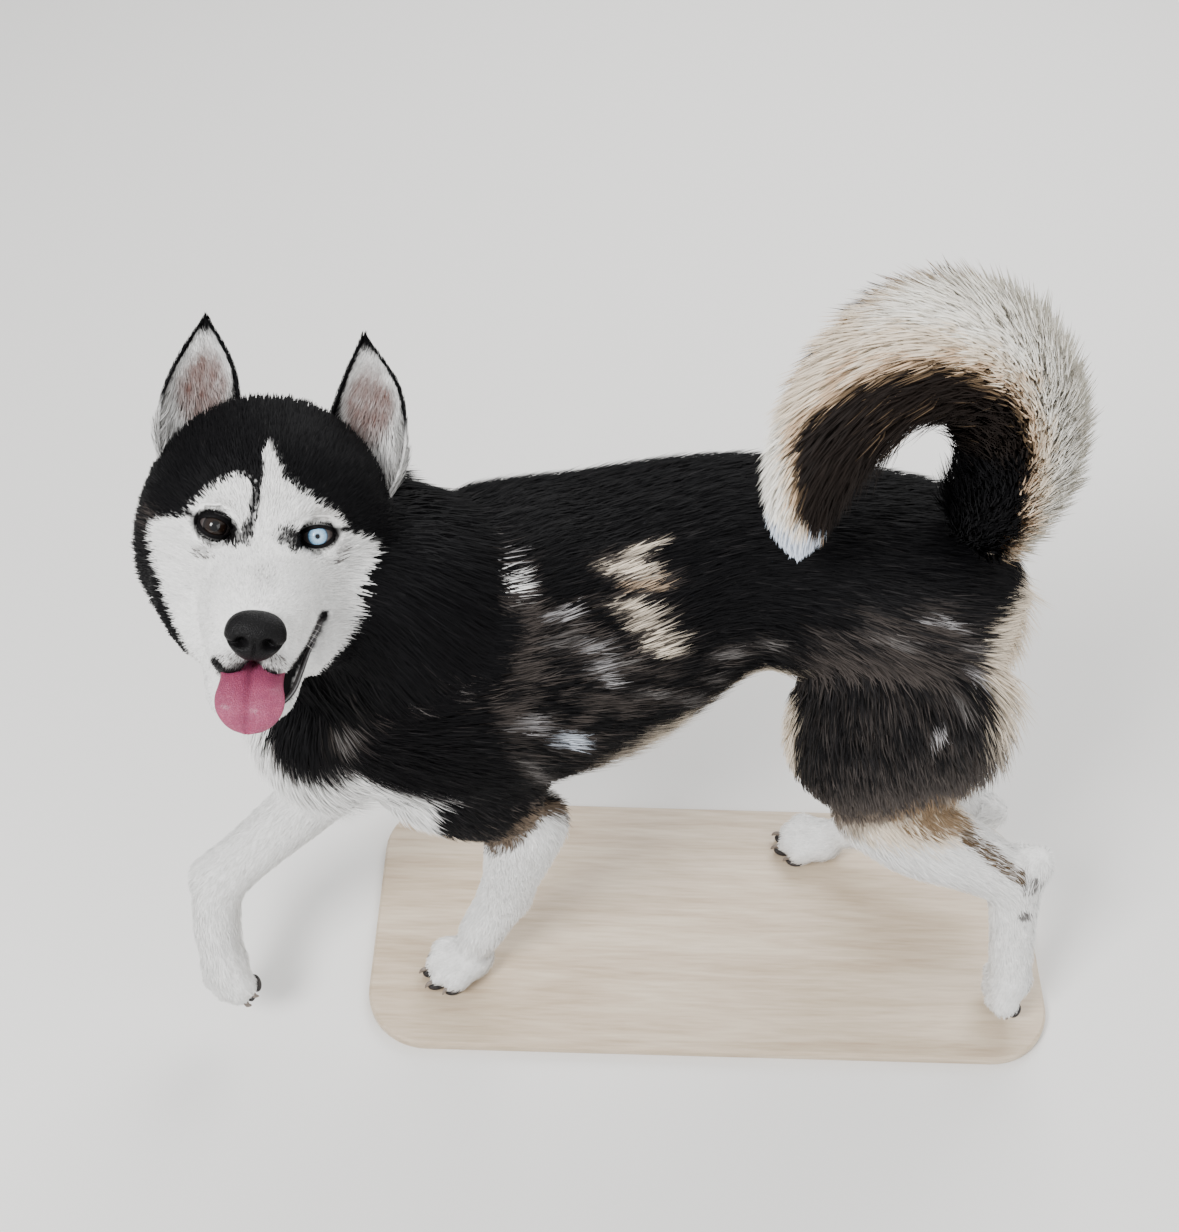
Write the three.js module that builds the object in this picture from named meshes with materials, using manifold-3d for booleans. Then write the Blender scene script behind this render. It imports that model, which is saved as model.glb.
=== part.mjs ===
// Siberian husky, life size, walking with one forepaw raised and its head turned to its left.
// Millimetres, +Z up. The animal walks towards -X and its left side faces -Y.

import * as THREE from 'three';
import { mergeVertices } from 'three/addons/utils/BufferGeometryUtils.js';
import Module from 'manifold-3d';

const wasm = await Module();
wasm.setup();

// Driving dimensions
const partGap = 0.3;
const rootSink = 9;
const lockThickness = 3;
const pelvis = new THREE.Vector3(283, 9, 463);
const loinLength = 150;
const ribLength = 141;
const shoulderLength = 125;
const chestReach = 140;
const rumpReach = 76;
const upperArm = 158;
const forearm = 188;
const pastern = 79;
const thighBone = 183;
const shankBone = 195;
const footBone = 148;
const heelLength = 47;
const headSize = 0.957;
const eyeSpacing = 70;
const eyeRadius = 11;
const lidThickness = 4;
const muzzleLength = 106;
const earHeight = 98;
const earWidth = 76;
const tailLock = { length: 84, half: 25, core: 0.56, spacing: 44, pitch: 11.5 };
const ruffLock = { length: 84, half: 25, rise: 17, rows: [0.4, 0.68], around: 8 };
const breechesLock = { length: 72, half: 20, rise: 14, rows: [0.08, 0.32, 0.56], spread: 38 };
const fringeLock = { length: 58, half: 20, rise: 9, rows: [0.37, 0.45, 0.53, 0.61, 0.69, 0.77], spread: 15 };
const bibLock = { length: 56, half: 20, rise: 10, spread: 40 };
const cheekLock = { length: 48, half: 16, rise: 9, angles: [98, 119, 140] };
const standBase = { left: -192, right: 462, near: -152, far: 132, thickness: 12, corner: 60, edge: 2.5 };
const tailLoop = { x: 240, z: 612, half: 82, rise: 132, drift: -66 };

// Small maths
const degree = Math.PI / 180;
const up = new THREE.Vector3(0, 0, 1);

// A point reached from another: heading 0 is forwards, positive to the left, pitch positive upwards
function along(from, length, heading, pitch) {
  const flat = length * Math.cos(pitch * degree);
  return new THREE.Vector3(
    from.x - flat * Math.cos(heading * degree),
    from.y - flat * Math.sin(heading * degree),
    from.z + length * Math.sin(pitch * degree),
  );
}

function facing(heading, pitch = 0) {
  return along(new THREE.Vector3(), 1, heading, pitch);
}

// A frame of reference: origin with forward, left and up directions, used as place(x, y, z)
function frameAt(origin, heading, pitch, roll = 0, size = 1) {
  const forward = facing(heading, pitch);
  const levelLeft = facing(heading + 90);
  const levelUp = forward.clone().cross(levelLeft);
  const left = levelLeft.clone().multiplyScalar(Math.cos(roll * degree));
  left.addScaledVector(levelUp, Math.sin(roll * degree));
  const top = forward.clone().cross(left);
  const place = (x, y, z) => origin.clone()
    .addScaledVector(forward, x * size).addScaledVector(left, y * size).addScaledVector(top, z * size);
  return { origin, forward, left, top, place };
}

// Value at t (0 to 1) of a smooth line through evenly spaced numbers
function blend(values, t) {
  const span = Math.min(values.length - 2, Math.floor(t * (values.length - 1)));
  const u = t * (values.length - 1) - span;
  const before = values[Math.max(0, span - 1)];
  const start = values[span];
  const end = values[span + 1];
  const after = values[Math.min(values.length - 1, span + 2)];
  const rise = (end - before) / 2;
  const fall = (after - start) / 2;
  return (2 * u ** 3 - 3 * u ** 2 + 1) * start + (u ** 3 - 2 * u ** 2 + u) * rise
    + (3 * u ** 2 - 2 * u ** 3) * end + (u ** 3 - u ** 2) * fall;
}

// Rounding of an end: 0 at the tip, 1 once the rounded length is passed
function roundedEnd(distance, length) {
  const left = Math.max(0, 1 - distance / length);
  return Math.sqrt(1 - left * left);
}

// A body of flesh and coat: stations along its middle give half width, height above and below.
// ahead is the direction that the "above" side faces. caps are the rounded lengths of the ends.
function moulded(stations, options = {}) {
  const {
    sides = 16, rings = 14, ahead = up, caps = [0.12, 0.12], grow = 0, square = 2, narrowing = 0,
  } = options;
  const line = new THREE.CatmullRomCurve3(stations.map((s) => s.at), false, 'catmullrom', 0.5);
  const halves = stations.map((s) => s.half);
  const above = stations.map((s) => s.above ?? s.half);
  const below = stations.map((s) => s.below ?? s.above ?? s.half);
  const shell = new THREE.SphereGeometry(1, sides, rings);
  const spots = shell.attributes.position;
  const unit = new THREE.Vector3();
  for (let i = 0; i < spots.count; i += 1) {
    unit.fromBufferAttribute(spots, i);
    const polar = Math.acos(Math.min(1, Math.max(-1, unit.y)));
    const t = 0.5 * (polar / Math.PI) + 0.25 * (1 - Math.cos(polar));
    const ring = Math.hypot(unit.x, unit.z);
    const middle = line.getPoint(t);
    const tangent = line.getTangent(t);
    const side = ahead.clone().cross(tangent).normalize();
    const top = tangent.clone().cross(side);
    const cap = Math.min(roundedEnd(t, caps[0]), roundedEnd(1 - t, caps[1]));
    const across = ring < 1e-6 ? 0 : unit.x / ring;
    const high = ring < 1e-6 ? 0 : unit.z / ring;
    const squared = (v) => Math.sign(v) * Math.abs(v) ** (2 / square);
    const width = blend(halves, t) * cap + grow;
    const height = blend(high > 0 ? above : below, t) * cap + grow;
    middle.addScaledVector(side, squared(across) * width * (1 - narrowing * high));
    middle.addScaledVector(top, squared(high) * height);
    middle.addScaledVector(tangent, (t < 0.5 ? -1 : 1) * (1 - cap) * grow);
    spots.setXYZ(i, middle.x, middle.y, middle.z);
  }
  return shell;
}

// Solids: a closed three.js geometry as a manifold, and back again
function solid(geometry) {
  geometry.deleteAttribute('normal');
  geometry.deleteAttribute('uv');
  const closed = mergeVertices(geometry, 1e-4);
  return new wasm.Manifold(new wasm.Mesh({
    numProp: 3,
    vertProperties: closed.attributes.position.array,
    triVerts: Uint32Array.from(closed.index.array),
  }));
}

function fused(pieces) {
  return pieces.reduce((whole, piece) => whole.add(piece));
}

function largest(body) {
  const pieces = body.decompose();
  return pieces.reduce((best, piece) => (piece.volume() > best.volume() ? piece : best));
}

function ball(centre, radius) {
  const shell = new THREE.SphereGeometry(radius, 12, 8);
  return solid(shell.translate(centre.x, centre.y, centre.z));
}

// A moulded body as it is and grown by the gap that its neighbours keep
function moulding(stations, shape) {
  return {
    body: solid(moulded(stations, shape)),
    grown: solid(moulded(stations, { ...shape, grow: partGap })),
  };
}

// Repeatable draws between -1 and 1
function seeded(start) {
  let state = start;
  return () => {
    state = (state * 16807) % 2147483647;
    return (2 * state) / 2147483647 - 1;
  };
}

const draw = seeded(4177);

// A flat, tapering lock of long coat: sunk at its root, it rises outwards and bends over to the lie.
// rise is how far its tip stands off the root's level.
function lock(root, outward, lie, { length, half, rise }) {
  const long = length * (1 + 0.16 * draw());
  const sideways = lie.clone().cross(outward).multiplyScalar(0.16 * draw() * long);
  const spot = (run, lifted) => root.clone()
    .addScaledVector(lie, run * long).addScaledVector(outward, lifted).addScaledVector(sideways, run * run);
  const stations = [
    { at: spot(-0.1, -rootSink), half: half * 0.75, above: lockThickness },
    { at: spot(0.3, rise * 0.5), half, above: lockThickness },
    { at: spot(0.68, rise * 0.9), half: half * 0.74, above: lockThickness * 0.85 },
    { at: spot(1, rise), half: 0.9, above: 0.5 },
  ];
  const shape = { sides: 4, rings: 4, caps: [0.12, 0.05], ahead: outward };
  return moulding(stations, shape);
}

// Locks on a moulded body: rows are shares of its length, angles(row) turn round it from its
// "above" side. lieAt(tangent) is the way the coat runs, laid flat on the surface.
function locksOn(stations, shape, size, rows, angles, lieAt) {
  const line = new THREE.CatmullRomCurve3(stations.map((s) => s.at), false, 'catmullrom', 0.5);
  const heights = ['half', 'above', 'below'].map((key) => stations.map((s) => s[key] ?? s.above ?? s.half));
  return rows.flatMap((share, row) => {
    const middle = line.getPoint(share);
    const tangent = line.getTangent(share);
    const side = (shape.ahead ?? up).clone().cross(tangent).normalize();
    const top = tangent.clone().cross(side);
    const cap = Math.min(roundedEnd(share, shape.caps[0]), roundedEnd(1 - share, shape.caps[1]));
    const [half, above, below] = heights.map((values) => blend(values, share) * cap);
    return angles(row).map((angle) => {
      const across = Math.sin(angle * degree);
      const high = Math.cos(angle * degree);
      const deep = high > 0 ? above : below;
      const root = middle.clone().addScaledVector(side, across * half).addScaledVector(top, high * deep);
      const outward = side.clone().multiplyScalar(across / half).addScaledVector(top, high / deep).normalize();
      const lie = lieAt(tangent);
      lie.addScaledVector(outward, -lie.dot(outward)).normalize();
      return lock(root, outward, lie, size);
    });
  });
}

// A body with its locks, as it is and grown by the gap that its neighbours keep
function coated(core, locks) {
  return {
    body: fused([core.body, ...locks.map((one) => one.body)]),
    grown: fused([core.grown, ...locks.map((one) => one.grown)]),
  };
}

// All that lies below the paws' floor, z = 0, used to give them their small flats
const floorDepth = 400;
const underFloor = solid(new THREE.BoxGeometry(4000, 4000, floorDepth).translate(0, 0, -floorDepth / 2));

// Colours
const black = 0x1b1a1c;
const charcoal = 0x3a3736;
const white = 0xe9e4da;
const cream = 0xdcd0ba;
const pink = 0xc96a7c;
const model = new THREE.Group();

function addPart(name, body, color, roughness = 0.9) {
  const mesh = largest(body).getMesh();
  const geometry = new THREE.BufferGeometry();
  geometry.setAttribute('position', new THREE.BufferAttribute(mesh.vertProperties, 3));
  geometry.setIndex(new THREE.BufferAttribute(mesh.triVerts, 1));
  const part = new THREE.Mesh(geometry, new THREE.MeshStandardMaterial({ color, roughness, metalness: 0 }));
  part.name = name;
  model.add(part);
}

// Spine, from the pelvis forwards
const loin = along(pelvis, loinLength, -9, -1);
const ribs = along(loin, ribLength, 13, -13);
const shoulders = along(ribs, shoulderLength, 28, 9);
const chestFront = along(shoulders, chestReach, 30, -12);
const rumpEnd = along(pelvis, rumpReach, 171, 2);

function bodyStation(spot, half, top, bottom) {
  return { at: new THREE.Vector3(spot.x, spot.y, (top + bottom) / 2), half, above: (top - bottom) / 2 };
}

const torsoStations = [
  bodyStation(rumpEnd, 52, 528, 420),
  bodyStation(pelvis, 86, 550, 384),
  bodyStation(loin, 90, 553, 392),
  bodyStation(ribs, 110, 555, 308),
  bodyStation(shoulders, 104, 568, 300),
  bodyStation(chestFront, 62, 500, 330),
];
const torsoShape = { sides: 24, rings: 22, caps: [0.16, 0.16], square: 2.1, narrowing: -0.06 };

// Coat of the torso: a fringe under the belly, lying back, and a bib down the front of the chest
const fringe = locksOn(
  torsoStations, torsoShape, fringeLock, fringeLock.rows,
  () => [180 - fringeLock.spread, 180 + fringeLock.spread],
  (tangent) => tangent.clone().negate().addScaledVector(up, -0.2),
);
const bib = locksOn(
  torsoStations, torsoShape, bibLock, [0.93],
  () => [180 - 2 * bibLock.spread, 180 - bibLock.spread, 180, 180 + bibLock.spread, 180 + 2 * bibLock.spread],
  (tangent) => tangent.clone().multiplyScalar(-0.4).addScaledVector(up, -1),
);
const torso = coated(moulding(torsoStations, torsoShape), [...fringe, ...bib]);

// Head frame: middle between the eyes, x forwards, y left and z up, all times headSize
const headAt = new THREE.Vector3(-214, -106, 627);
const head = frameAt(headAt, 99, 25, -11, headSize);

function headStation(x, y, z, half, above, below = above) {
  const [wide, high, low] = [half, above, below].map((size) => size * headSize);
  return { at: head.place(x, y, z), half: wide, above: high, below: low };
}

function headPiece(stations, options) {
  return solid(moulded(stations, { ahead: head.top, ...options }));
}

// Neck and ruff: from inside the shoulders up to the back of the head
const neckStations = [
  { at: along(shoulders, 50, 190, -10), half: 74, above: 72, below: 82 },
  { at: new THREE.Vector3(-136, -62, 496), half: 78, above: 67, below: 90 },
  { at: new THREE.Vector3(-192, -60, 548), half: 78, above: 64, below: 82 },
  { at: new THREE.Vector3(-224, -58, 582), half: 70, above: 57, below: 72 },
];
const neckShape = { sides: 20, rings: 13, caps: [0.24, 0.3] };

// The ruff lies back from the cheeks and falls a little
const ruff = locksOn(
  neckStations, neckShape, ruffLock, ruffLock.rows,
  (row) => Array.from({ length: ruffLock.around }, (_, step) => (step + row / 2) * (360 / ruffLock.around)),
  (tangent) => tangent.clone().negate().addScaledVector(up, -0.3),
);
const neck = coated(moulding(neckStations, neckShape), ruff);

// Skull, cheeks and muzzle as one body, its stations from the back of the skull to the nose
const headStations = [
  headStation(-98, 0, -8, 72, 68, 84),
  headStation(-66, 0, -14, 91, 96, 104),
  headStation(-34, 0, -18, 88, 84, 102),
  headStation(-4, 0, -26, 62, 60, 76),
  headStation(26, 0, -32, 40, 36, 36),
  headStation(58, 0, -35, 36, 27, 26),
  headStation(muzzleLength, 0, -40, 28, 20, 20),
];
const headShape = { sides: 24, rings: 22, caps: [0.2, 0.12], square: 2.15, narrowing: 0.1 };
const cheekLocks = locksOn(
  headStations, { ...headShape, ahead: head.top }, cheekLock, [0.2],
  () => [...cheekLock.angles, ...cheekLock.angles.map((angle) => -angle)],
  (tangent) => tangent.clone().negate().addScaledVector(up, -0.35),
);
const skull = coated(moulding(headStations, { ...headShape, ahead: head.top }), cheekLocks);

// Eyes, each under lids that leave an almond opening slanting up outwards
function eyeSpot(sign) {
  return head.place(0, sign * eyeSpacing / 2, 0);
}

function eyeOpening(sign) {
  const stations = [
    headStation(12, sign * (eyeSpacing / 2 - 12.5), -3.5, 2, 14),
    headStation(12, sign * eyeSpacing / 2, 0.5, 7, 14),
    headStation(8, sign * (eyeSpacing / 2 + 12), 4, 2, 14),
  ];
  return solid(moulded(stations, { sides: 10, rings: 6, caps: [0.3, 0.3], ahead: head.forward }));
}

// Lower jaw and tongue
const jawStations = [
  headStation(-6, 0, -88, 42, 24),
  headStation(36, 0, -92, 35, 20),
  headStation(70, 0, -99, 28, 17),
  headStation(98, 0, -104, 20, 14),
];
const jawShape = { sides: 14, rings: 9, caps: [0.2, 0.25], square: 2.3 };
const jawBody = headPiece(jawStations, jawShape);
const jawGrown = headPiece(jawStations, { ...jawShape, grow: partGap });
const tongueStations = [
  headStation(18, 0, -70, 20, 5),
  headStation(60, 0, -74, 23, 6),
  headStation(94, 0, -83, 25, 6),
  headStation(112, 0, -97, 24, 5),
  headStation(115, 0, -115, 18, 4),
];
const tongueBody = headPiece(tongueStations, { sides: 10, rings: 9, caps: [0.15, 0.3] });

// Nose pad with its two nostrils
const noseStations = [
  headStation(muzzleLength - 12, 0, -34, 17, 12),
  headStation(muzzleLength + 2, 0, -36, 22, 15),
  headStation(muzzleLength + 13, 0, -39, 17, 12),
];
const noseShape = { sides: 10, rings: 7, caps: [0.3, 0.5], square: 2.3 };
const noseGrown = headPiece(noseStations, { ...noseShape, grow: partGap });

function nostril(sign) {
  return headPiece([
    headStation(muzzleLength + 4, sign * 8, -37, 4, 4),
    headStation(muzzleLength + 12, sign * 8.5, -38, 4, 4.5),
    headStation(muzzleLength + 18, sign * 13, -36, 5, 3),
  ], { sides: 6, rings: 4 });
}

const noseBody = headPiece(noseStations, noseShape).subtract(nostril(1)).subtract(nostril(-1));

// Ears: a tapering shell whose front is scooped out to a cup
const earFoot = 44;

function earBody(sign) {
  const cupped = (inset, forward, above, below, top) => solid(moulded([
    headStation(-58 + forward, sign * 58, earFoot + inset, earWidth / 2 - inset, above, below),
    headStation(-62 + forward, sign * 61, earFoot + earHeight * 0.28, earWidth / 2 - 2 - inset, above, below),
    headStation(
      -66 + forward, sign * 62, earFoot + earHeight * 0.6, earWidth / 2 - 14 - inset, above * 0.7, below * 0.7,
    ),
    headStation(-66 + forward * 0.6, sign * 59, earFoot + earHeight * top, 5, 4),
  ], { sides: 12, rings: 8, caps: [0.12, 0.12], ahead: head.forward }));
  return cupped(0, 0, 17, 15, 1).subtract(cupped(6, 15, 18, 15, 0.9));
}

// Legs
function limb(stations, ahead, options = {}) {
  return moulding(stations, { sides: 12, rings: 9, caps: [0.16, 0.16], ahead, ...options });
}

// A paw: four toes and a pad round a low body, x towards the toe tips, floor at z = 0
const pawMiddle = 20;
const plantedHeight = pawMiddle - 0.8;
const toeRows = [
  { y: 19, reach: 27, side: 10 }, { y: 7.5, reach: 40, side: 4 },
  { y: -7.5, reach: 40, side: -4 }, { y: -19, reach: 27, side: -10 },
];

function pawFrame(middle, heading, pitch, roll = 0) {
  const turned = frameAt(middle, heading, pitch, roll);
  return frameAt(turned.place(0, 0, -pawMiddle), heading, pitch, roll);
}

function pawBody(frame) {
  const { place, top } = frame;
  const pieces = [solid(moulded([
    { at: place(-26, 0, 17), half: 15, above: 14, below: 18 },
    { at: place(-2, 0, 22), half: 23, above: 18, below: 23 },
    { at: place(24, 0, 17), half: 20, above: 12, below: 15 },
  ], { sides: 10, rings: 6, caps: [0.3, 0.35], ahead: top }))];
  for (const toe of toeRows) {
    pieces.push(solid(moulded([
      { at: place(0, toe.y * 0.7, 20), half: 9, above: 10 },
      { at: place(toe.reach * 0.6, toe.y, 19), half: 9.5, above: 13, below: 15 },
      { at: place(toe.reach, toe.y + toe.side * 0.2, 11), half: 8, above: 8, below: 12 },
    ], { sides: 7, rings: 5, caps: [0.3, 0.4], ahead: top })));
    pieces.push(solid(moulded([
      { at: place(toe.reach - 6, toe.y, 13), half: 2.6, above: 3.4 },
      { at: place(toe.reach + 2, toe.y + toe.side * 0.3, 12), half: 2.4, above: 3 },
      { at: place(toe.reach + 7, toe.y + toe.side * 0.4, 6), half: 1, above: 1.2 },
    ], { sides: 4, rings: 3, caps: [0.2, 0.1], ahead: top })));
  }
  return fused(pieces);
}

function foreleg(name, pose) {
  const { shoulder, elbow, carpus, ankle, paw, heading, fullness = 1 } = pose;
  const ahead = facing(heading);
  const upper = limb([
    { at: shoulder, half: 40, above: 62, below: 60 },
    { at: shoulder.clone().lerp(elbow, 0.55), half: 42, above: 56, below: 54 },
    { at: elbow, half: 34, above: 36, below: 40 },
  ], ahead, { caps: [0.3, 0.25] });
  const lower = limb([
    { at: elbow.clone().lerp(carpus, -0.06), half: 31, above: 34, below: 37 },
    { at: elbow.clone().lerp(carpus, 0.36), half: 26, above: 29, below: 31 },
    { at: elbow.clone().lerp(carpus, 0.74), half: 22, above: 22, below: 23 },
    { at: elbow.clone().lerp(carpus, 1.05), half: 23, above: 22, below: 21 },
  ].map(({ at, half, above, below }) => (
    { at, half: half * fullness, above: above * fullness, below: below * fullness }
  )), ahead, { caps: [0.16, 0.08] });
  const foot = limb([
    { at: elbow.clone().lerp(carpus, 0.93), half: 22, above: 21 },
    { at: carpus.clone().lerp(ankle, 0.5), half: 20, above: 19 },
    { at: ankle, half: 19, above: 17 },
  ], ahead, { rings: 8, caps: [0.2, 0.25] });
  const footWhole = foot.body.add(pawBody(paw)).subtract(lower.grown).subtract(underFloor);
  addPart(`${name}_upper`, upper.body.subtract(torso.grown).subtract(neck.grown), black);
  addPart(`${name}_forearm`, lower.body.subtract(upper.grown).subtract(torso.grown), white);
  addPart(`${name}_paw`, footWhole, white);
}

function hindleg(name, pose) {
  const { hip, knee, hock, heel, ankle, paw, heading, shankAhead, footAhead } = pose;
  const ahead = facing(heading);
  const thighStations = [
    { at: hip.clone().lerp(knee, -0.16), half: 46, above: 66, below: 70 },
    { at: hip.clone().lerp(knee, 0.2), half: 50, above: 82, below: 82 },
    { at: hip.clone().lerp(knee, 0.62), half: 44, above: 72, below: 74 },
    { at: knee, half: 33, above: 44, below: 48 },
  ];
  const thighShape = { sides: 16, rings: 11, caps: [0.22, 0.24], ahead };
  const breeches = locksOn(
    thighStations, thighShape, breechesLock, breechesLock.rows,
    (row) => (row % 2 ? [-0.5, 0.5] : [-1, 0, 1]).map((step) => 180 + step * breechesLock.spread),
    (tangent) => tangent.clone().addScaledVector(ahead, -0.3),
  );
  const thigh = coated(moulding(thighStations, thighShape), breeches);
  const shank = limb([
    { at: hip.clone().lerp(knee, 0.9), half: 31, above: 38, below: 38 },
    { at: knee.clone().lerp(hock, 0.42), half: 28, above: 33, below: 38 },
    { at: knee.clone().lerp(hock, 0.78), half: 21, above: 24, below: 28 },
    { at: knee.clone().lerp(hock, 1.04), half: 20, above: 23, below: 23 },
  ], shankAhead, { caps: [0.16, 0.08] });
  const foot = limb([
    { at: heel, half: 15, above: 14 },
    { at: hock, half: 19, above: 20 },
    { at: hock.clone().lerp(ankle, 0.55), half: 18, above: 17 },
    { at: ankle, half: 19, above: 17 },
  ], footAhead, { caps: [0.16, 0.2] });
  const footWhole = foot.body.add(pawBody(paw)).subtract(shank.grown).subtract(underFloor);
  addPart(`${name}_thigh`, thigh.body.subtract(torso.grown), charcoal);
  addPart(`${name}_shank`, shank.body.subtract(thigh.grown).subtract(torso.grown), white);
  addPart(`${name}_foot`, footWhole, white);
}

// Foreleg poses: left planted, right raised with its wrist bent
const leftShoulder = new THREE.Vector3(-138, -118, 400);
const leftElbow = along(leftShoulder, upperArm, -163, -47);
const leftCarpus = along(leftElbow, forearm, -50, -77);
const leftPaw = along(leftCarpus, pastern, 23, -61);
const rightShoulder = new THREE.Vector3(-182, -8, 388);
const rightElbow = along(rightShoulder, upperArm * 0.85, 40, -84);
const rightCarpus = along(rightElbow, forearm, 24, -37);
const rightPaw = along(rightCarpus, pastern, 108, -56);

foreleg('foreleg_left', {
  shoulder: leftShoulder,
  elbow: leftElbow,
  carpus: leftCarpus,
  ankle: along(leftCarpus, pastern * 0.95, 23, -61),
  paw: pawFrame(leftPaw.setZ(plantedHeight), 24, 0),
  heading: 20,
});
foreleg('foreleg_right', {
  shoulder: rightShoulder,
  elbow: rightElbow,
  carpus: rightCarpus,
  ankle: along(rightCarpus, pastern * 0.95, 108, -56),
  paw: pawFrame(rightPaw, 108, -60, 50),
  heading: 40,
  fullness: 1.14,
});

// Hind leg poses: left pushing off its toes, right planted ahead with a low hock
const leftHip = new THREE.Vector3(269, -40, 446);
const leftKnee = along(leftHip, thighBone, 18, -80);
const leftHock = along(leftKnee, shankBone, 175, -31);
const leftFoot = along(leftHock, footBone * 0.82, 110, -75);
const rightHip = new THREE.Vector3(289, 68, 442);
const rightKnee = along(rightHip, thighBone, -56, -81);
const rightHock = along(rightKnee, shankBone, 164, -55);
const rightFoot = along(rightHock, footBone, -9, -29);

hindleg('hindleg_left', {
  hip: leftHip,
  knee: leftKnee,
  hock: leftHock,
  heel: along(leftHock, heelLength, -170, 66),
  ankle: leftFoot,
  paw: pawFrame(leftFoot, 4, -72),
  heading: -4,
  shankAhead: facing(0, -56),
  footAhead: facing(0),
});
hindleg('hindleg_right', {
  hip: rightHip,
  knee: rightKnee,
  hock: rightHock,
  heel: along(rightHock, heelLength, 172, 12),
  ankle: along(rightHock, footBone * 0.93, -9, -29),
  paw: pawFrame(rightFoot.setZ(plantedHeight), -6, 0),
  heading: -14,
  shankAhead: facing(-8, -34),
  footAhead: facing(-9, 60),
});

// Tail: up from the rump, forwards over the back in a loop, and down on the left side
function tailPoint(turn) {
  const drift = tailLoop.drift * (turn + 40) / 235;
  return new THREE.Vector3(
    tailLoop.x + tailLoop.half * Math.cos(turn * degree),
    2 + drift,
    tailLoop.z + tailLoop.rise * Math.sin(turn * degree),
  );
}

const tailTurns = [-36, 0, 32, 62, 90, 118, 150, 178, 200];
const tailFullness = 60;
const tailRadii = [0.6, 0.77, 0.9, 1, 1, 0.93, 0.8, 0.64, 0.4].map((share) => share * tailFullness);
const tailNames = ['tail_root', 'tail_rise', 'tail_arch', 'tail_tip'];

// What is left of a body on one side of the plane across the tail at a turn, gap clear of it
function trimmedAt(body, turn, direction, gap) {
  const spot = tailPoint(turn);
  const normal = tailPoint(turn + 1).sub(spot).normalize().multiplyScalar(direction);
  return body.trimByPlane(normal.toArray(), spot.dot(normal) + gap);
}

// Locks of one length of the tail: rooted in rings on its core, lying towards the tip,
// shorter on the inner side of the loop
function tailLocks(start, end, radii) {
  const rows = Math.round(tailPoint(start).distanceTo(tailPoint(end)) / tailLock.spacing);
  return Array.from({ length: rows }, (_, row) => (row + 0.5) / rows).flatMap((share, row) => {
    const middle = tailPoint(start + (end - start) * share);
    const lie = tailPoint(start + (end - start) * share + 1).sub(middle).normalize();
    const outer = new THREE.Vector3(0, 1, 0).cross(lie).normalize();
    const beside = lie.clone().cross(outer);
    const reach = blend(radii, share);
    const around = Math.round(reach / tailLock.pitch);
    return Array.from({ length: around }, (__, step) => {
      const angle = (2 * Math.PI * (step + row / 2)) / around;
      const outward = outer.clone().multiplyScalar(Math.cos(angle)).addScaledVector(beside, Math.sin(angle));
      const root = middle.clone().addScaledVector(outward, reach * tailLock.core * 0.88);
      const inner = Math.cos(angle) < -0.4;
      const size = {
        length: tailLock.length * (reach / tailFullness) * (inner ? 0.7 : 1),
        half: tailLock.half,
        rise: reach * (1 - tailLock.core),
      };
      return lock(root, outward, lie, size);
    });
  });
}

let tailBefore = null;
tailNames.forEach((name, index) => {
  const first = index * 2;
  const last = Math.min(first + 4, tailTurns.length);
  const steps = [first - 1, first, first + 1, first + 2, first + 3].filter((step) => step >= 0 && step < last);
  const stations = steps.map((step) => {
    const reach = tailRadii[step] * tailLock.core;
    return { at: tailPoint(tailTurns[step]), half: reach * 0.95, above: reach * 0.9 };
  });
  const caps = [index ? 0.05 : 0.2, index < 3 ? 0.05 : 0.4];
  const core = moulding(stations, { sides: 10, rings: 8, caps, ahead: new THREE.Vector3(0, -1, 0) });
  for (const [key, gap] of [['body', partGap / 2], ['grown', -partGap / 2]]) {
    if (index > 0) core[key] = trimmedAt(core[key], tailTurns[first], 1, gap);
    if (index < 3) core[key] = trimmedAt(core[key], tailTurns[first + 2], -1, gap);
  }
  const locks = tailLocks(tailTurns[first], tailTurns[first + 2], tailRadii.slice(first, first + 3));
  const length = coated(core, locks);
  let whole = length.body.subtract(torso.grown);
  if (tailBefore) whole = whole.subtract(tailBefore);
  addPart(name, whole, index < 1 ? black : cream);
  tailBefore = length.grown;
});

// Body and head parts
addPart('torso', torso.body, black);
addPart('neck', neck.body.subtract(torso.grown), black);
const lidBalls = [1, -1].map((sign) => ball(eyeSpot(sign), eyeRadius + lidThickness));
let headWhole = fused([skull.body, ...lidBalls]);
headWhole = headWhole.subtract(neck.grown).subtract(noseGrown).subtract(jawGrown);
for (const [side, sign] of [['left', 1], ['right', -1]]) {
  headWhole = headWhole.subtract(ball(eyeSpot(sign), eyeRadius + partGap)).subtract(eyeOpening(sign));
  addPart(`eye_${side}`, ball(eyeSpot(sign), eyeRadius), sign > 0 ? 0xa9cbe2 : 0x2a1a12, 0.1);
  addPart(`ear_${side}`, earBody(sign).subtract(skull.grown).subtract(neck.grown), black);
}
addPart('head', headWhole.subtract(torso.grown), white);
addPart('nose', noseBody, 0x141314, 0.4);
addPart('lower_jaw', jawBody.subtract(neck.grown).subtract(torso.grown), white);
addPart('tongue', tongueBody.subtract(skull.grown).subtract(jawGrown), pink, 0.5);

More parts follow.
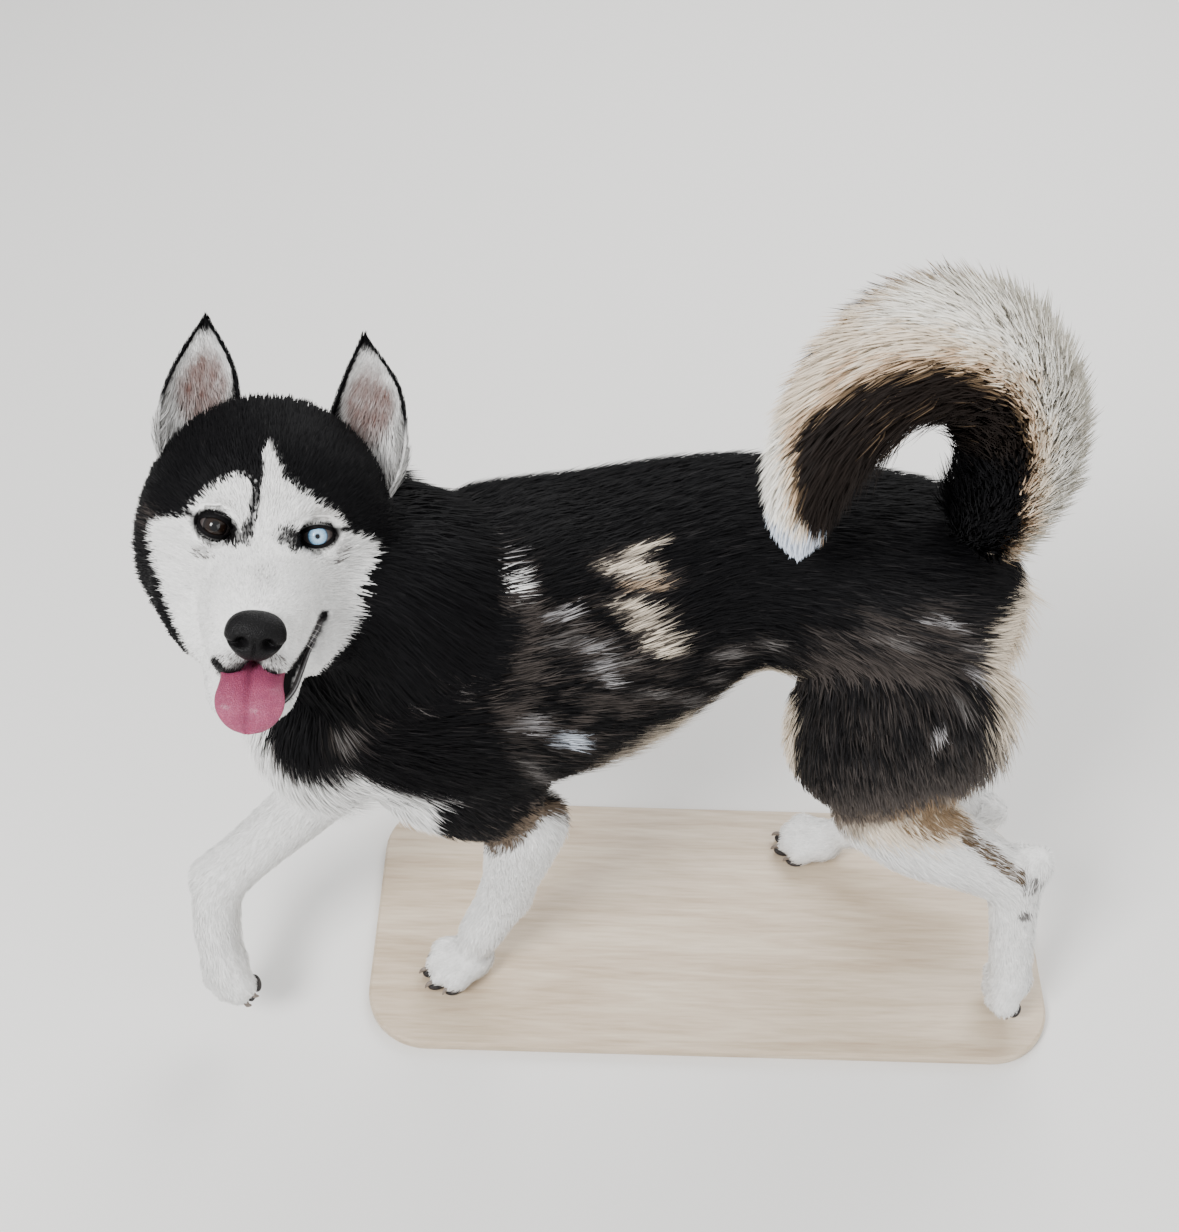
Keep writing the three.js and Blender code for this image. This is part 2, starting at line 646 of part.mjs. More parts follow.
// Display base under the three paws that stand
function baseBody({ left, right, near, far, thickness, corner, edge }) {
  const outline = new THREE.Shape();
  outline.moveTo(left + corner, near);
  outline.lineTo(right - corner, near);
  outline.absarc(right - corner, near + corner, corner, -Math.PI / 2, 0);
  outline.absarc(right - corner, far - corner, corner, 0, Math.PI / 2);
  outline.absarc(left + corner, far - corner, corner, Math.PI / 2, Math.PI);
  outline.absarc(left + corner, near + corner, corner, Math.PI, 1.5 * Math.PI);
  const slab = new THREE.ExtrudeGeometry(outline, {
    depth: thickness - 2 * edge, bevelThickness: edge, bevelSize: edge, bevelOffset: -edge,
    bevelSegments: 1, curveSegments: 6,
  });
  return solid(slab.translate(0, 0, edge - thickness - partGap));
}

addPart('stand_base', baseBody(standBase), 0xb99f7c, 0.5);

// The floor centre under the model is the origin
const extent = new THREE.Box3().setFromObject(model);
model.position.set(-(extent.min.x + extent.max.x) / 2, -(extent.min.y + extent.max.y) / 2, -extent.min.z);

export default model;
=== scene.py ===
import bpy
import numpy as np
from mathutils import Vector, Matrix
from mathutils.bvhtree import BVHTree
from mathutils.kdtree import KDTree


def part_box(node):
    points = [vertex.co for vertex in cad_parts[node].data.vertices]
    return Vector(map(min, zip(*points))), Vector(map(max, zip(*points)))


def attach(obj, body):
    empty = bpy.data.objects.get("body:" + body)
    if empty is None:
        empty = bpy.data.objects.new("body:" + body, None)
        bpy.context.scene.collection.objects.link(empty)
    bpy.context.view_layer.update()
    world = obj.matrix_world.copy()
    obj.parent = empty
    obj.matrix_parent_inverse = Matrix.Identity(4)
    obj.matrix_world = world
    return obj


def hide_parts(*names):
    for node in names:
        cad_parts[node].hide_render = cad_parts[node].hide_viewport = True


# Walking siberian husky on a display base. Shapes are worked out in millimetres in the
# animal's own frame: it walks towards -x, its left side faces -y, its paws stand on z = 0.
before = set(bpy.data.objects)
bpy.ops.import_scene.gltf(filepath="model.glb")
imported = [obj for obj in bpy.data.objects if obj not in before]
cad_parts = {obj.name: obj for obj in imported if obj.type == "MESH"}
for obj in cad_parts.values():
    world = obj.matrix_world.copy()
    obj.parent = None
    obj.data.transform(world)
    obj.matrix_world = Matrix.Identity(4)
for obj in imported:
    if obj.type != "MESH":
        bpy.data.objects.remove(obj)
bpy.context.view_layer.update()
rng = np.random.default_rng(587)
eyeMiddle = np.array([-214.0, -106.0, 627.0])


def middleOf(node):
    low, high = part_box(node)
    return (np.array(low) + np.array(high)) / 2


shift = (middleOf("eye_left") + middleOf("eye_right")) / 2 - eyeMiddle / 1000


def toWorld(points):
    return np.asarray(points) / 1000 + shift


print("stage: frame loaded, shift", shift.round(4))



def unit(v):
    return v / np.maximum(np.linalg.norm(v, axis=-1, keepdims=True), 1e-9)


# products of the rows of two arrays
def dot(a, b):
    return np.einsum("ij,ij->i", a, b)


def circle(n):
    return np.linspace(0, 2 * np.pi, n, endpoint=False)


# power that keeps the sign
def powered(v, exponent):
    return np.sign(v) * np.abs(v) ** exponent


def ease(low, high, x):
    s = np.clip((x - low) / (high - low), 0, 1)
    return s * s * (3 - 2 * s)


def mix(a, b, k):
    k = np.asarray(k)[..., None] if np.ndim(k) else k
    return a + (b - a) * k


# heading 0 is forwards (-x), positive to the left (-y); pitch positive upwards; in degrees
def facing(heading, pitch=0):
    h, p = np.radians(heading), np.radians(pitch)
    return np.array([-np.cos(p) * np.cos(h), -np.cos(p) * np.sin(h), np.sin(p)])


def along(start, length, heading, pitch):
    return np.asarray(start, float) + length * facing(heading, pitch)


class Frame:
    # origin with forward, left and top directions; place() turns its own numbers into points
    def __init__(self, origin, heading, pitch, roll=0, size=1):
        self.origin, self.size = np.asarray(origin, float), size
        self.forward = facing(heading, pitch)
        levelLeft = facing(heading + 90)
        levelUp = np.cross(self.forward, levelLeft)
        r = np.radians(roll)
        self.left = levelLeft * np.cos(r) + levelUp * np.sin(r)
        self.top = np.cross(self.forward, self.left)

    def place(self, x, y, z):
        x, y, z = (np.asarray(k, float)[..., None] * self.size for k in (x, y, z))
        return self.origin + x * self.forward + y * self.left + z * self.top

    def placeAll(self, own):
        return self.place(own[..., 0], own[..., 1], own[..., 2])

    def own(self, points):
        d = (np.asarray(points) - self.origin) / self.size
        return np.stack([d @ self.forward, d @ self.left, d @ self.top], -1)


# smooth line through points or numbers, read at shares 0 to 1 (Catmull-Rom)
def through(values, t):
    v = np.asarray(values, float)
    v = v[:, None] if v.ndim == 1 else v
    v = np.vstack([2 * v[0] - v[1], v, 2 * v[-1] - v[-2]])
    x = np.clip(t, 0, 1) * (len(v) - 3)
    i = np.minimum(x.astype(int), len(v) - 4)
    u = (x - i)[:, None]
    a, b, c, d = v[i], v[i + 1], v[i + 2], v[i + 3]
    return b + u * (c - a) / 2 + u * u * (a - 2.5 * b + 2 * c - d / 2) + u ** 3 * (1.5 * (b - c) + (d - a) / 2)


def curve(values, t):
    return through(values, t)[:, 0]


# sum of slow waves in seeded directions, about -1 to 1, for patchy edges and colours
def waves(points, size, seed):
    g = np.random.default_rng(seed)
    total = 0
    for k in range(5):
        d = unit(g.normal(size=3)) * 2 * np.pi / (size * (0.6 + 0.35 * k))
        total = total + np.sin(points @ d + g.uniform(0, 6.28) + 1.3 * np.sin(points @ d[[1, 2, 0]]))
    return total / 3.2




def makeMesh(name, points, faces, smooth=True):
    mesh = bpy.data.meshes.new(name)
    mesh.vertices.add(len(points))
    mesh.vertices.foreach_set("co", np.asarray(points, np.float32).ravel())
    corners = faces.shape[1]
    mesh.loops.add(faces.size)
    mesh.loops.foreach_set("vertex_index", faces.astype(np.int32).ravel())
    mesh.polygons.add(len(faces))
    mesh.polygons.foreach_set("loop_start", np.arange(0, faces.size, corners, dtype=np.int32))
    mesh.polygons.foreach_set("use_smooth", np.full(len(faces), smooth))
    mesh.update(calc_edges=True)
    piece = bpy.data.objects.new(name, mesh)
    bpy.context.scene.collection.objects.link(piece)
    return piece


# closed skin of a grid whose rows run round: rows x columns x 3, the first and last rows shrink to poles
def closedGrid(rows):
    n, m = rows.shape[:2]
    points = np.vstack([rows[0].mean(0), rows.reshape(-1, 3), rows[-1].mean(0)])
    j = np.arange(m)
    k = (j + 1) % m
    faces = [np.stack([np.zeros(m, int), 1 + k, 1 + j, 1 + j], 1)]
    for i in range(n - 1):
        a = 1 + i * m
        faces.append(np.stack([a + j, a + k, a + m + k, a + m + j], 1))
    last = 1 + (n - 1) * m
    faces.append(np.stack([last + j, last + k, np.full(m, last + m), np.full(m, last + m)], 1))
    return points, np.vstack(faces)


def trianglesOf(faces):
    halves = np.vstack([faces[:, [0, 1, 2]], faces[:, [0, 2, 3]]])
    same = (halves[:, 0] == halves[:, 1]) | (halves[:, 1] == halves[:, 2]) | (halves[:, 0] == halves[:, 2])
    return halves[~same]


# points and triangles of a closed grid, turned the right way out by the sign of its volume
def shell(rows):
    points, faces = closedGrid(rows)
    tris = trianglesOf(faces)
    a, b, c = (points[tris[:, k]] for k in range(3))
    return points, tris[:, ::-1] if dot(a, np.cross(b, c)).sum() < 0 else tris


def gridPiece(name, rows, levels=0):
    points, tris = shell(rows)
    piece = makeMesh(name, toWorld(points), tris)
    if levels:
        sub = piece.modifiers.new("soften", "SUBSURF")
        sub.levels = sub.render_levels = levels
    return piece


def colourOn(piece, name, colours):
    layer = piece.data.attributes.new(name, "FLOAT_COLOR", "POINT")
    full = np.ones((len(colours), 4), np.float32)
    full[:, :3] = colours
    layer.data.foreach_set("color", full.ravel())


# The body is made of lofts. A loft carries an ellipse along a smooth line: half is its width each way,
# above and below its heights on the side that `ahead` faces and on the other. inset is how deep the skin
# lies under the tips of the coat.

upwards = np.array([0.0, 0, 1])


class Loft:
    def __init__(self, name, stations, ahead=upwards, caps=(0.12, 0.12), square=2, narrowing=0, inset=4,
                 sides=32, rings=30):
        self.name, self.ahead, self.square, self.narrowing = name, np.asarray(ahead, float), square, narrowing
        self.caps = caps
        self.line = np.array([s[0] for s in stations])
        self.half = np.array([s[1] for s in stations], float)
        self.above = np.array([s[2] for s in stations], float)
        self.below = np.array([s[3] if len(s) > 3 else s[2] for s in stations], float)
        self.inset = np.broadcast_to(np.asarray(inset, float), len(stations))
        polar = np.linspace(0.04, np.pi - 0.04, rings)
        self.t = 0.5 * polar / np.pi + 0.25 * (1 - np.cos(polar))
        self.angle = circle(sides)

    def frames(self, t):
        e = 1e-3
        middle = through(self.line, t)
        tangent = unit(through(self.line, np.minimum(t + e, 1)) - through(self.line, np.maximum(t - e, 0)))
        side = unit(np.cross(self.ahead, tangent))
        return middle, tangent, side, np.cross(tangent, side)

    # point = middle + side*width*cos + top*height*sin, both rounded off towards the ends
    def rows(self):
        t, a = self.t, self.angle
        middle, tangent, side, top = self.frames(t)
        deep = curve(self.inset, t)
        cap = np.minimum(*(np.sqrt(1 - np.clip(1 - d / c, 0, 1) ** 2) for d, c in
                           ((t, self.caps[0]), (1 - t, self.caps[1]))))
        across, high = powered(np.sin(a), 2 / self.square), powered(np.cos(a), 2 / self.square)
        width = curve(self.half, t) * cap - deep * (cap > 0)
        tall = curve(self.above, t) * cap - deep
        low = curve(self.below, t) * cap - deep
        width, tall, low = (np.maximum(w, 0.6) for w in (width, tall, low))
        height = np.where(high > 0, tall[:, None], low[:, None]) * high
        wide = width[:, None] * across * (1 - self.narrowing * np.cos(a))
        ends = np.where(t < 0.5, 1, -1) * (1 - cap) * deep
        return (middle + tangent * ends[:, None])[:, None] + wide[..., None] * side[:, None] \
            + height[..., None] * top[:, None]

    # for each point the nearest of even steps along the line: its share, middle, tangent, side and top
    def nearest(self, points, steps):
        t = np.linspace(0, 1, steps)
        frames = self.frames(t)
        near = np.argmin(((points[:, None] - frames[0][None]) ** 2).sum(2), axis=1)
        return t[near], *(part[near] for part in frames)


spine = {"pelvis": (283, 9, 463), "loin": 150, "ribs": 141, "shoulders": 125, "chest": 140, "rump": 76}
loin = along(spine["pelvis"], spine["loin"], -9, -1)
ribs = along(loin, spine["ribs"], 13, -13)
shoulders = along(ribs, spine["shoulders"], 28, 9)
chestFront = along(shoulders, spine["chest"], 30, -12)
rumpEnd = along(spine["pelvis"], spine["rump"], 171, 2)
head = Frame(eyeMiddle, 99, 25, -11, 0.957)
lofts = []


def bodyStation(spot, half, top, bottom):
    return (np.array([spot[0], spot[1], (top + bottom) / 2]), half, (top - bottom) / 2)


def headStation(x, y, z, half, above, below=None):
    below = above if below is None else below
    return (head.place(x, y, z), half * head.size, above * head.size, below * head.size)


lofts.append(Loft("torso", [
    bodyStation(rumpEnd, 52, 528, 420), bodyStation(spine["pelvis"], 86, 550, 384),
    bodyStation(loin, 90, 553, 382), bodyStation(ribs, 110, 555, 305),
    bodyStation(shoulders, 104, 568, 300), bodyStation(chestFront, 62, 500, 330),
], caps=(0.16, 0.16), square=2.1, narrowing=-0.06, inset=6, sides=64, rings=70))
lofts.append(Loft("torsoBreast", [
    (np.array([-176, -92, 492]), 50, 44), (np.array([-208, -112, 446]), 52, 40),
    (np.array([-206, -114, 396]), 46, 36), (np.array([-176, -98, 356]), 34, 26)],
    ahead=facing(32), caps=(0.25, 0.25), inset=4, sides=40, rings=30))
lofts.append(Loft("neck", [
    (along(shoulders, 50, 190, -10), 80, 84, 82), (np.array([-136, -58, 496]), 87, 90, 90),
    (np.array([-192, -60, 548]), 80, 70, 82), (np.array([-224, -58, 582]), 71, 60, 72),
], caps=(0.24, 0.3), inset=1, sides=48, rings=40))
headRows = [(-98, -8, 75, 76, 84), (-66, -14, 94, 103, 104), (-34, -18, 90, 92, 102), (-4, -26, 64, 63, 76),
            (26, -32, 40, 36, 36), (58, -35, 36, 27, 26), (106, -40, 28, 20, 20)]
lofts.append(Loft("head", [headStation(x, 0, z, h, a, b) for x, z, h, a, b in headRows], ahead=head.top,
                  caps=(0.2, 0.12), square=2.15, narrowing=0.1, inset=[3, 1, 1, 1, 0.5, 0.5, 0.5],
                  sides=64, rings=70))
lofts.append(Loft("jaw", [headStation(-6, 0, -88, 46, 26), headStation(36, 0, -92, 38, 22),
                          headStation(70, 0, -99, 32, 17), headStation(97, 1, -104, 27, 14)],
                  ahead=head.top, caps=(0.2, 0.25), square=2.3, inset=[4, 1, 0, 0], sides=40, rings=30))
# hanging upper lips beside the mouth, and full cheeks behind its corners
for side, sign in (("Left", 1), ("Right", -1)):
    hang = 0 if side == "Left" else 9
    lofts.append(Loft("headLip" + side, [
        headStation(12, sign * 36, -47, 11, 11, 11 + hang), headStation(46, sign * 28, -55, 12, 14.5, 14.5 + hang),
        headStation(78, sign * 18, -61, 13, 17, 17 + hang / 2), headStation(99, sign * 7.5, -60, 11, 14)],
        ahead=head.top, caps=(0.3, 0.3), inset=0, sides=28, rings=24))
    low = 6 if side == "Left" else 0
    lofts.append(Loft("headCheek" + side, [
        headStation(-52, sign * 57 + low / 3, -36, 28, 36), headStation(-22, sign * 53 + low / 2, -58 - low, 28, 33),
        headStation(8, sign * 41 + low / 2, -80 - low, 23, 22), headStation(34, sign * 27, -96, 14, 12)],
        ahead=head.top, caps=(0.3, 0.3), inset=3, sides=32, rings=28))

# paws: a low body with four toes, x towards the toe tips, floor at z = 0
pawMiddle = 20
plantedHeight = pawMiddle - 0.8
toeRows = [(19, 27, 10), (7.5, 40, 4), (-7.5, 40, -4), (-19, 27, -10)]


def pawFrame(middle, heading, pitch, roll=0):
    turned = Frame(middle, heading, pitch, roll)
    return Frame(turned.place(0, 0, -pawMiddle), heading, pitch, roll)


paws = {}


def addPaw(name, f):
    paws[name] = f
    lofts.append(Loft(name + "_palm", [(f.place(-26, 0, 17), 15, 14, 18), (f.place(-2, 0, 22), 23, 18, 23),
                                       (f.place(24, 0, 17), 20, 12, 15)], ahead=f.top, caps=(0.3, 0.35),
                      inset=0, sides=24, rings=16))
    for number, (y, reach, side) in enumerate(toeRows):
        lofts.append(Loft(f"{name}_toe{number}", [
            (f.place(0, y * 0.7, 20), 9, 10), (f.place(reach * 0.6, y, 19), 9.5, 13, 15),
            (f.place(reach, y + side * 0.2, 11), 8, 8, 12)], ahead=f.top, caps=(0.3, 0.4), inset=0,
            sides=20, rings=16))


def between(a, b, share):
    return a + (b - a) * share


def foreleg(name, shoulder, elbow, carpus, ankle, paw, heading, fullness=1.0, inset=(4, 2, 0, -2)):
    ahead = facing(heading)
    lofts.append(Loft(name + "_upper", [
        (shoulder, 40, 62, 60), (between(shoulder, elbow, 0.55), 42, 56, 54), (elbow, 34, 36, 40)],
        ahead=ahead, caps=(0.3, 0.25), inset=[8, 6, 3]))
    lower = [(-0.06, 31, 34, 37), (0.36, 26, 29, 31), (0.74, 22, 22, 23), (1.05, 23, 22, 21)]
    lofts.append(Loft(name + "_forearm", [
        (between(elbow, carpus, s), *(w * fullness for w in size)) for s, *size in lower],
        ahead=ahead, caps=(0.16, 0.08), inset=inset))
    lofts.append(Loft(name + "_wrist", [
        (between(elbow, carpus, 0.93), 22, 21), (between(carpus, ankle, 0.5), 20, 19), (ankle, 19, 17)],
        ahead=ahead, caps=(0.2, 0.25), inset=-2.5))
    addPaw(name + "_paw", paw)


def hindleg(name, hip, knee, hock, heel, ankle, paw, heading, shankAhead, footAhead):
    ahead = facing(heading)
    thigh = [(-0.16, 46, 66, 72), (0.2, 50, 82, 94), (0.62, 46, 74, 97), (1, 36, 49, 68)]
    lofts.append(Loft(name + "_thigh", [(between(hip, knee, s), *size) for s, *size in thigh], ahead=ahead,
                      caps=(0.22, 0.24), inset=[8, 5, 1, -3], sides=40, rings=40))
    lofts.append(Loft(name + "_shank", [
        (between(hip, knee, 0.86), 36, 48, 48), (between(knee, hock, 0.4), 31, 40, 43),
        (between(knee, hock, 0.76), 23, 27, 31), (between(knee, hock, 1.04), 20, 23, 23)],
        ahead=shankAhead, caps=(0.16, 0.08), inset=[-1, -3, -3, -3]))
    lofts.append(Loft(name + "_foot", [
        (heel, 15, 14), (hock, 19, 20), (between(hock, ankle, 0.55), 18, 17), (ankle, 19, 17)],
        ahead=footAhead, caps=(0.16, 0.2), inset=-4))
    addPaw(name + "_paw", paw)


# each leg from its top joint down, by the lengths, headings and pitches of its bones
bones = {"upperArm": 158, "forearm": 188, "pastern": 79, "thigh": 183, "shank": 195, "foot": 148, "heel": 47}
leftShoulder = np.array([-138.0, -118, 400])
leftElbow = along(leftShoulder, bones["upperArm"], -163, -47)
leftCarpus = along(leftElbow, bones["forearm"], -50, -77)
leftPaw = along(leftCarpus, bones["pastern"], 23, -61)
leftPaw[2] = plantedHeight
rightShoulder = np.array([-182.0, -8, 388])
rightElbow = along(rightShoulder, bones["upperArm"] * 0.85, 40, -84)
rightCarpus = along(rightElbow, bones["forearm"], 24, -37)
rightPaw = along(rightCarpus, bones["pastern"], 108, -56)
foreleg("foreleg_left", leftShoulder, leftElbow, leftCarpus, along(leftCarpus, bones["pastern"] * 0.95, 23, -61),
        pawFrame(leftPaw, 24, 0), 20, inset=(-1, -3, -3, -4))
foreleg("foreleg_right", rightShoulder, rightElbow, rightCarpus,
        along(rightCarpus, bones["pastern"] * 0.95, 108, -56), pawFrame(rightPaw, 108, -60, 50), 40, 1.14)
leftHip = np.array([269.0, -40, 446])
leftKnee = along(leftHip, bones["thigh"], 18, -80)
leftHock = along(leftKnee, bones["shank"], 175, -31)
leftFoot = along(leftHock, bones["foot"] * 0.82, 110, -75)
rightHip = np.array([289.0, 68, 442])
rightKnee = along(rightHip, bones["thigh"], -56, -81)
rightHock = along(rightKnee, bones["shank"], 164, -55)
rightFoot = along(rightHock, bones["foot"], -9, -29)
rightFootOn = rightFoot.copy()
rightFootOn[2] = plantedHeight
hindleg("hindleg_left", leftHip, leftKnee, leftHock, along(leftHock, bones["heel"], -170, 66), leftFoot,
        pawFrame(leftFoot, 4, -72), -4, facing(0, -56), facing(0))
hindleg("hindleg_right", rightHip, rightKnee, rightHock, along(rightHock, bones["heel"], 172, 12),
        along(rightHock, bones["foot"] * 0.93, -9, -29), pawFrame(rightFootOn, -6, 0), -14, facing(-8, -34),
        facing(-9, 60))

# tail: an upright loop over the back that drifts to the left
tail = {"x": 240, "z": 612, "half": 82, "rise": 132, "drift": -66, "full": 60, "core": 0.5}
tailTurns = np.array([-36, 0, 32, 62, 90, 118, 150, 178, 200.0])
tailShares = np.array([0.78, 0.9, 0.96, 1, 1, 0.93, 0.8, 0.62, 0.3])


def tailPoint(turn):
    r = np.radians(turn)
    return np.array([tail["x"] + tail["half"] * np.cos(r), 2 + tail["drift"] * (turn + 40) / 235,
                     tail["z"] + tail["rise"] * np.sin(r)])


tailCore = tail["full"] * tailShares * tail["core"]
lofts.append(Loft("tail", [(tailPoint(turn), half, half) for turn, half in zip(tailTurns, tailCore)],
                  ahead=(0, -1, 0), caps=(0.05, 0.1), inset=0, sides=28, rings=70))
print("stage: lofts", len(lofts))

# skin: the lofts joined, remeshed to one closed surface and smoothed

skinSet = {"voxel": 0.00378, "rounds": 26, "step": 0.6, "stiffHead": 0.35, "stiffPaw": 0.12}
flesh = ["torso", "neck", "head", "lower_jaw"] + [
    f"foreleg_{s}_{p}" for s in ("left", "right") for p in ("upper", "forearm", "paw")] + [
    f"hindleg_{s}_{p}" for s in ("left", "right") for p in ("thigh", "shank", "foot")] + [
    "tail_root", "tail_rise", "tail_arch", "tail_tip"]


def remeshedLofts(name):
    points, faces, count = [], [], 0
    for loft in lofts:
        own, tris = shell(loft.rows())
        points.append(own)
        faces.append(tris + count)
        count += len(own)
    piece = makeMesh(name, toWorld(np.vstack(points)), np.vstack(faces))
    remesh = piece.modifiers.new("whole", "REMESH")
    remesh.mode, remesh.voxel_size = "VOXEL", skinSet["voxel"]
    whole = bpy.data.meshes.new_from_object(piece.evaluated_get(bpy.context.evaluated_depsgraph_get()))
    piece.modifiers.clear()
    loose, piece.data = piece.data, whole
    bpy.data.meshes.remove(loose)
    return piece


skin = remeshedLofts("skin")


def pointsOf(piece):
    co = np.empty(len(piece.data.vertices) * 3, np.float32)
    piece.data.vertices.foreach_get("co", co)
    return (co.reshape(-1, 3).astype(float) - shift) * 1000


def facesOf(piece):
    piece.data.calc_loop_triangles()
    tri = np.empty(len(piece.data.loop_triangles) * 3, np.int32)
    piece.data.loop_triangles.foreach_get("vertices", tri)
    return tri.reshape(-1, 3)


# gives, for an array of points, the number of the nearest of `spots`
def finder(spots):
    tree = KDTree(len(spots))
    for number, spot in enumerate(spots.tolist()):
        tree.insert(spot, number)
    tree.balance()
    return lambda points: np.array([tree.find(point)[1] for point in points.tolist()])


# the loft that each point belongs to is that of the nearest sample on the lofts' surfaces
names = np.array([loft.name for loft in lofts])
skinPoints, skinFaces = pointsOf(skin), facesOf(skin)
samples = [loft.rows().reshape(-1, 3) for loft in lofts]
skinLoft = np.repeat(np.arange(len(lofts)), [len(own) for own in samples])[finder(np.vstack(samples))(skinPoints)]
edges = np.empty(len(skin.data.edges) * 2, np.int32)
skin.data.edges.foreach_get("vertices", edges)
edges = edges.reshape(-1, 2)
degrees = np.bincount(edges.ravel(), minlength=len(skinPoints))[:, None]


# mean over each point's neighbours
def spread(values):
    total = np.zeros_like(values)
    for k in range(values.shape[1]):
        total[:, k] = np.bincount(edges[:, 0], values[edges[:, 1], k], len(values)) \
            + np.bincount(edges[:, 1], values[edges[:, 0], k], len(values))
    return total / degrees


softness = [skinSet["stiffPaw"] if "paw" in name else skinSet["stiffHead"] if name.startswith(("head", "jaw")) else 1
             for name in names]
softness = np.array(softness, float)[skinLoft]
for _ in range(skinSet["rounds"]):
    skinPoints = skinPoints + (spread(skinPoints) - skinPoints) * (skinSet["step"] * softness)[:, None]
print("stage: skin", len(skinPoints), "points", len(skinFaces), "triangles")


# across each triangle, as long as twice its area
def crossOf(points, faces):
    a, b, c = (points[faces[:, k]] for k in range(3))
    return np.cross(b - a, c - a)


def normalsOf(points, faces):
    n = crossOf(points, faces)
    total = np.zeros_like(points)
    for k in range(3):
        for axis in range(3):
            total[:, axis] += np.bincount(faces[:, k], n[:, axis], len(points))
    return unit(total)


# eyes: pits in the skin, lids round them

eyeSet = {"radius": 11.0, "spacing": 73, "pit": 13.0, "openWide": 11.6, "openUp": 5.4, "openDown": 6.2,
          "slant": 13, "outer": 21.0, "rim": {"left": 3.9, "right": 5.0}}
cameraSpot = np.array([11.0, -950.0, 1457.0])
eyes = {}
for side, sign in (("left", 1), ("right", -1)):
    centre = head.place(0, sign * eyeSet["spacing"] / 2, 0)
    gaze = unit(0.75 * unit(cameraSpot - centre) + 0.25 * head.forward)
    out = unit(head.left * sign - gaze * (head.left @ gaze) * sign)
    high = np.cross(gaze, out) * (1 if np.cross(gaze, out) @ head.top > 0 else -1)
    eyes[side] = {"centre": centre, "gaze": gaze, "out": out, "high": high}
    d = skinPoints - centre
    depth, off = d @ gaze, d - (d @ gaze)[:, None] * gaze
    away = np.linalg.norm(off, axis=1)
    pit = (away < eyeSet["pit"]) & (depth > -20)
    target = -6 + 9 * ease(7, eyeSet["pit"], away)
    skinPoints[pit] += (np.minimum(target - depth, 0)[:, None] * gaze)[pit]
skin.data.vertices.foreach_set("co", toWorld(skinPoints).astype(np.float32).ravel())
skin.data.update()
skinNormals = normalsOf(skinPoints, skinFaces)
skinTree = BVHTree.FromPolygons(skinPoints.tolist(), skinFaces.tolist())


# lid: rings from inside the almond opening, over its rim, out to the skin of the face.
# ring point = centre + out*x + high*y + gaze*depth, depth from a sphere just over the eyeball near
# the rim and from the face farther out; each ring is its share of the way out and its lift
lidRings = ((-0.14, -3.2), (-0.04, -0.4), (0, 0.9), (0.08, 1.5), (0.2, 1.7), (0.38, None), (0.6, None), (0.8, None),
            (1, None))


def lidRows(eye):
    a = circle(72)
    slant = np.radians(eyeSet["slant"])
    c, s = np.cos(a), np.sin(a)
    tall = np.where(s > 0, eyeSet["openUp"], eyeSet["openDown"])
    x0 = eyeSet["openWide"] * c
    y0 = tall * powered(s, 1.25)
    edge = np.stack([x0 * np.cos(slant) - y0 * np.sin(slant), x0 * np.sin(slant) + y0 * np.cos(slant)], 1)
    rings = []
    outer = np.stack([eyeSet["outer"] * c, (eyeSet["outer"] - 3) * s], 1)
    for share, lift in lidRings:
        xy = edge + (outer - edge) * share
        r = np.linalg.norm(xy, axis=1)
        ball = np.sqrt(np.maximum((eyeSet["radius"] + 1.3) ** 2 - r * r, 4.0))
        spots = []
        for (x, y), b in zip(xy, ball):
            spot = eye["centre"] + eye["out"] * x + eye["high"] * y
            if lift is not None:
                spots.append(spot + eye["gaze"] * (b + lift - 1.2))
                continue
            hit = skinTree.ray_cast(Vector(spot + eye["gaze"] * 60), Vector(-eye["gaze"]))[0]
            face = (np.array(hit) - spot) @ eye["gaze"] if hit else 0
            k = ease(0.3, 0.85, share)
            face = max(face, -4) if share < 0.9 else face - 1.5
            spots.append(spot + eye["gaze"] * ((b + 0.8) * (1 - k) + face * k))
        rings.append(np.array(spots))
    return np.array(rings)


lids = {side: lidRows(eye) for side, eye in eyes.items()}

earSet = {"wall": 2.6, "shift": 5, "half": [21, 31, 29, 20.5, 2.0], "back": [16, 16, 14, 10, 2.0],
          "front": [14, 12, 8, 5, 1.0], "limit": [104, 104, 98, 92, 90],
          "line": [(-50, 60, 14), (-57, 60, 42), (-62, 61.5, 71), (-66, 60.5, 102)]}


# outer wall point = centre line + left*half*sin(turn) + forward*depth*cos(turn), turn running round
# the back from one front edge to the other; the inner wall is the same, drawn in by the wall
def earRows(sign):
    s = np.linspace(0, 1, 34)
    line = through([*earSet["line"], (-66, 57.3 - 5.2 * sign, 134)], s)
    half, back, front, limit = (curve(earSet[key], s) for key in ("half", "back", "front", "limit"))
    limit = np.radians(limit)
    turn = np.linspace(-1, 1, 41)[None] * limit[:, None]
    wall = earSet["wall"] * (1 - 0.55 * s)[:, None]

    def surface(inwards):
        c, q = np.cos(turn), np.sin(turn)
        deep = np.where(c > 0, -(back[:, None] - inwards) * c, -(front[:, None] - inwards * 0.4) * c)
        return head.place(
            line[:, :1] + deep, sign * line[:, 1:2] + earSet["shift"] + (half[:, None] - inwards) * q * sign,
            line[:, 2:3] + 0 * q)
    return surface(0), surface(wall)


ears, earShapes = {}, {}
for side, sign in (("left", 1), ("right", -1)):
    outer, inner = earShapes[side] = earRows(sign)
    ears[side] = gridPiece(f"ear{side.title()}", np.concatenate([outer, inner[:, ::-1]], axis=1))
print("stage: lids and ears")

# markings: one colour for each place on the animal, used by skin and coat alike

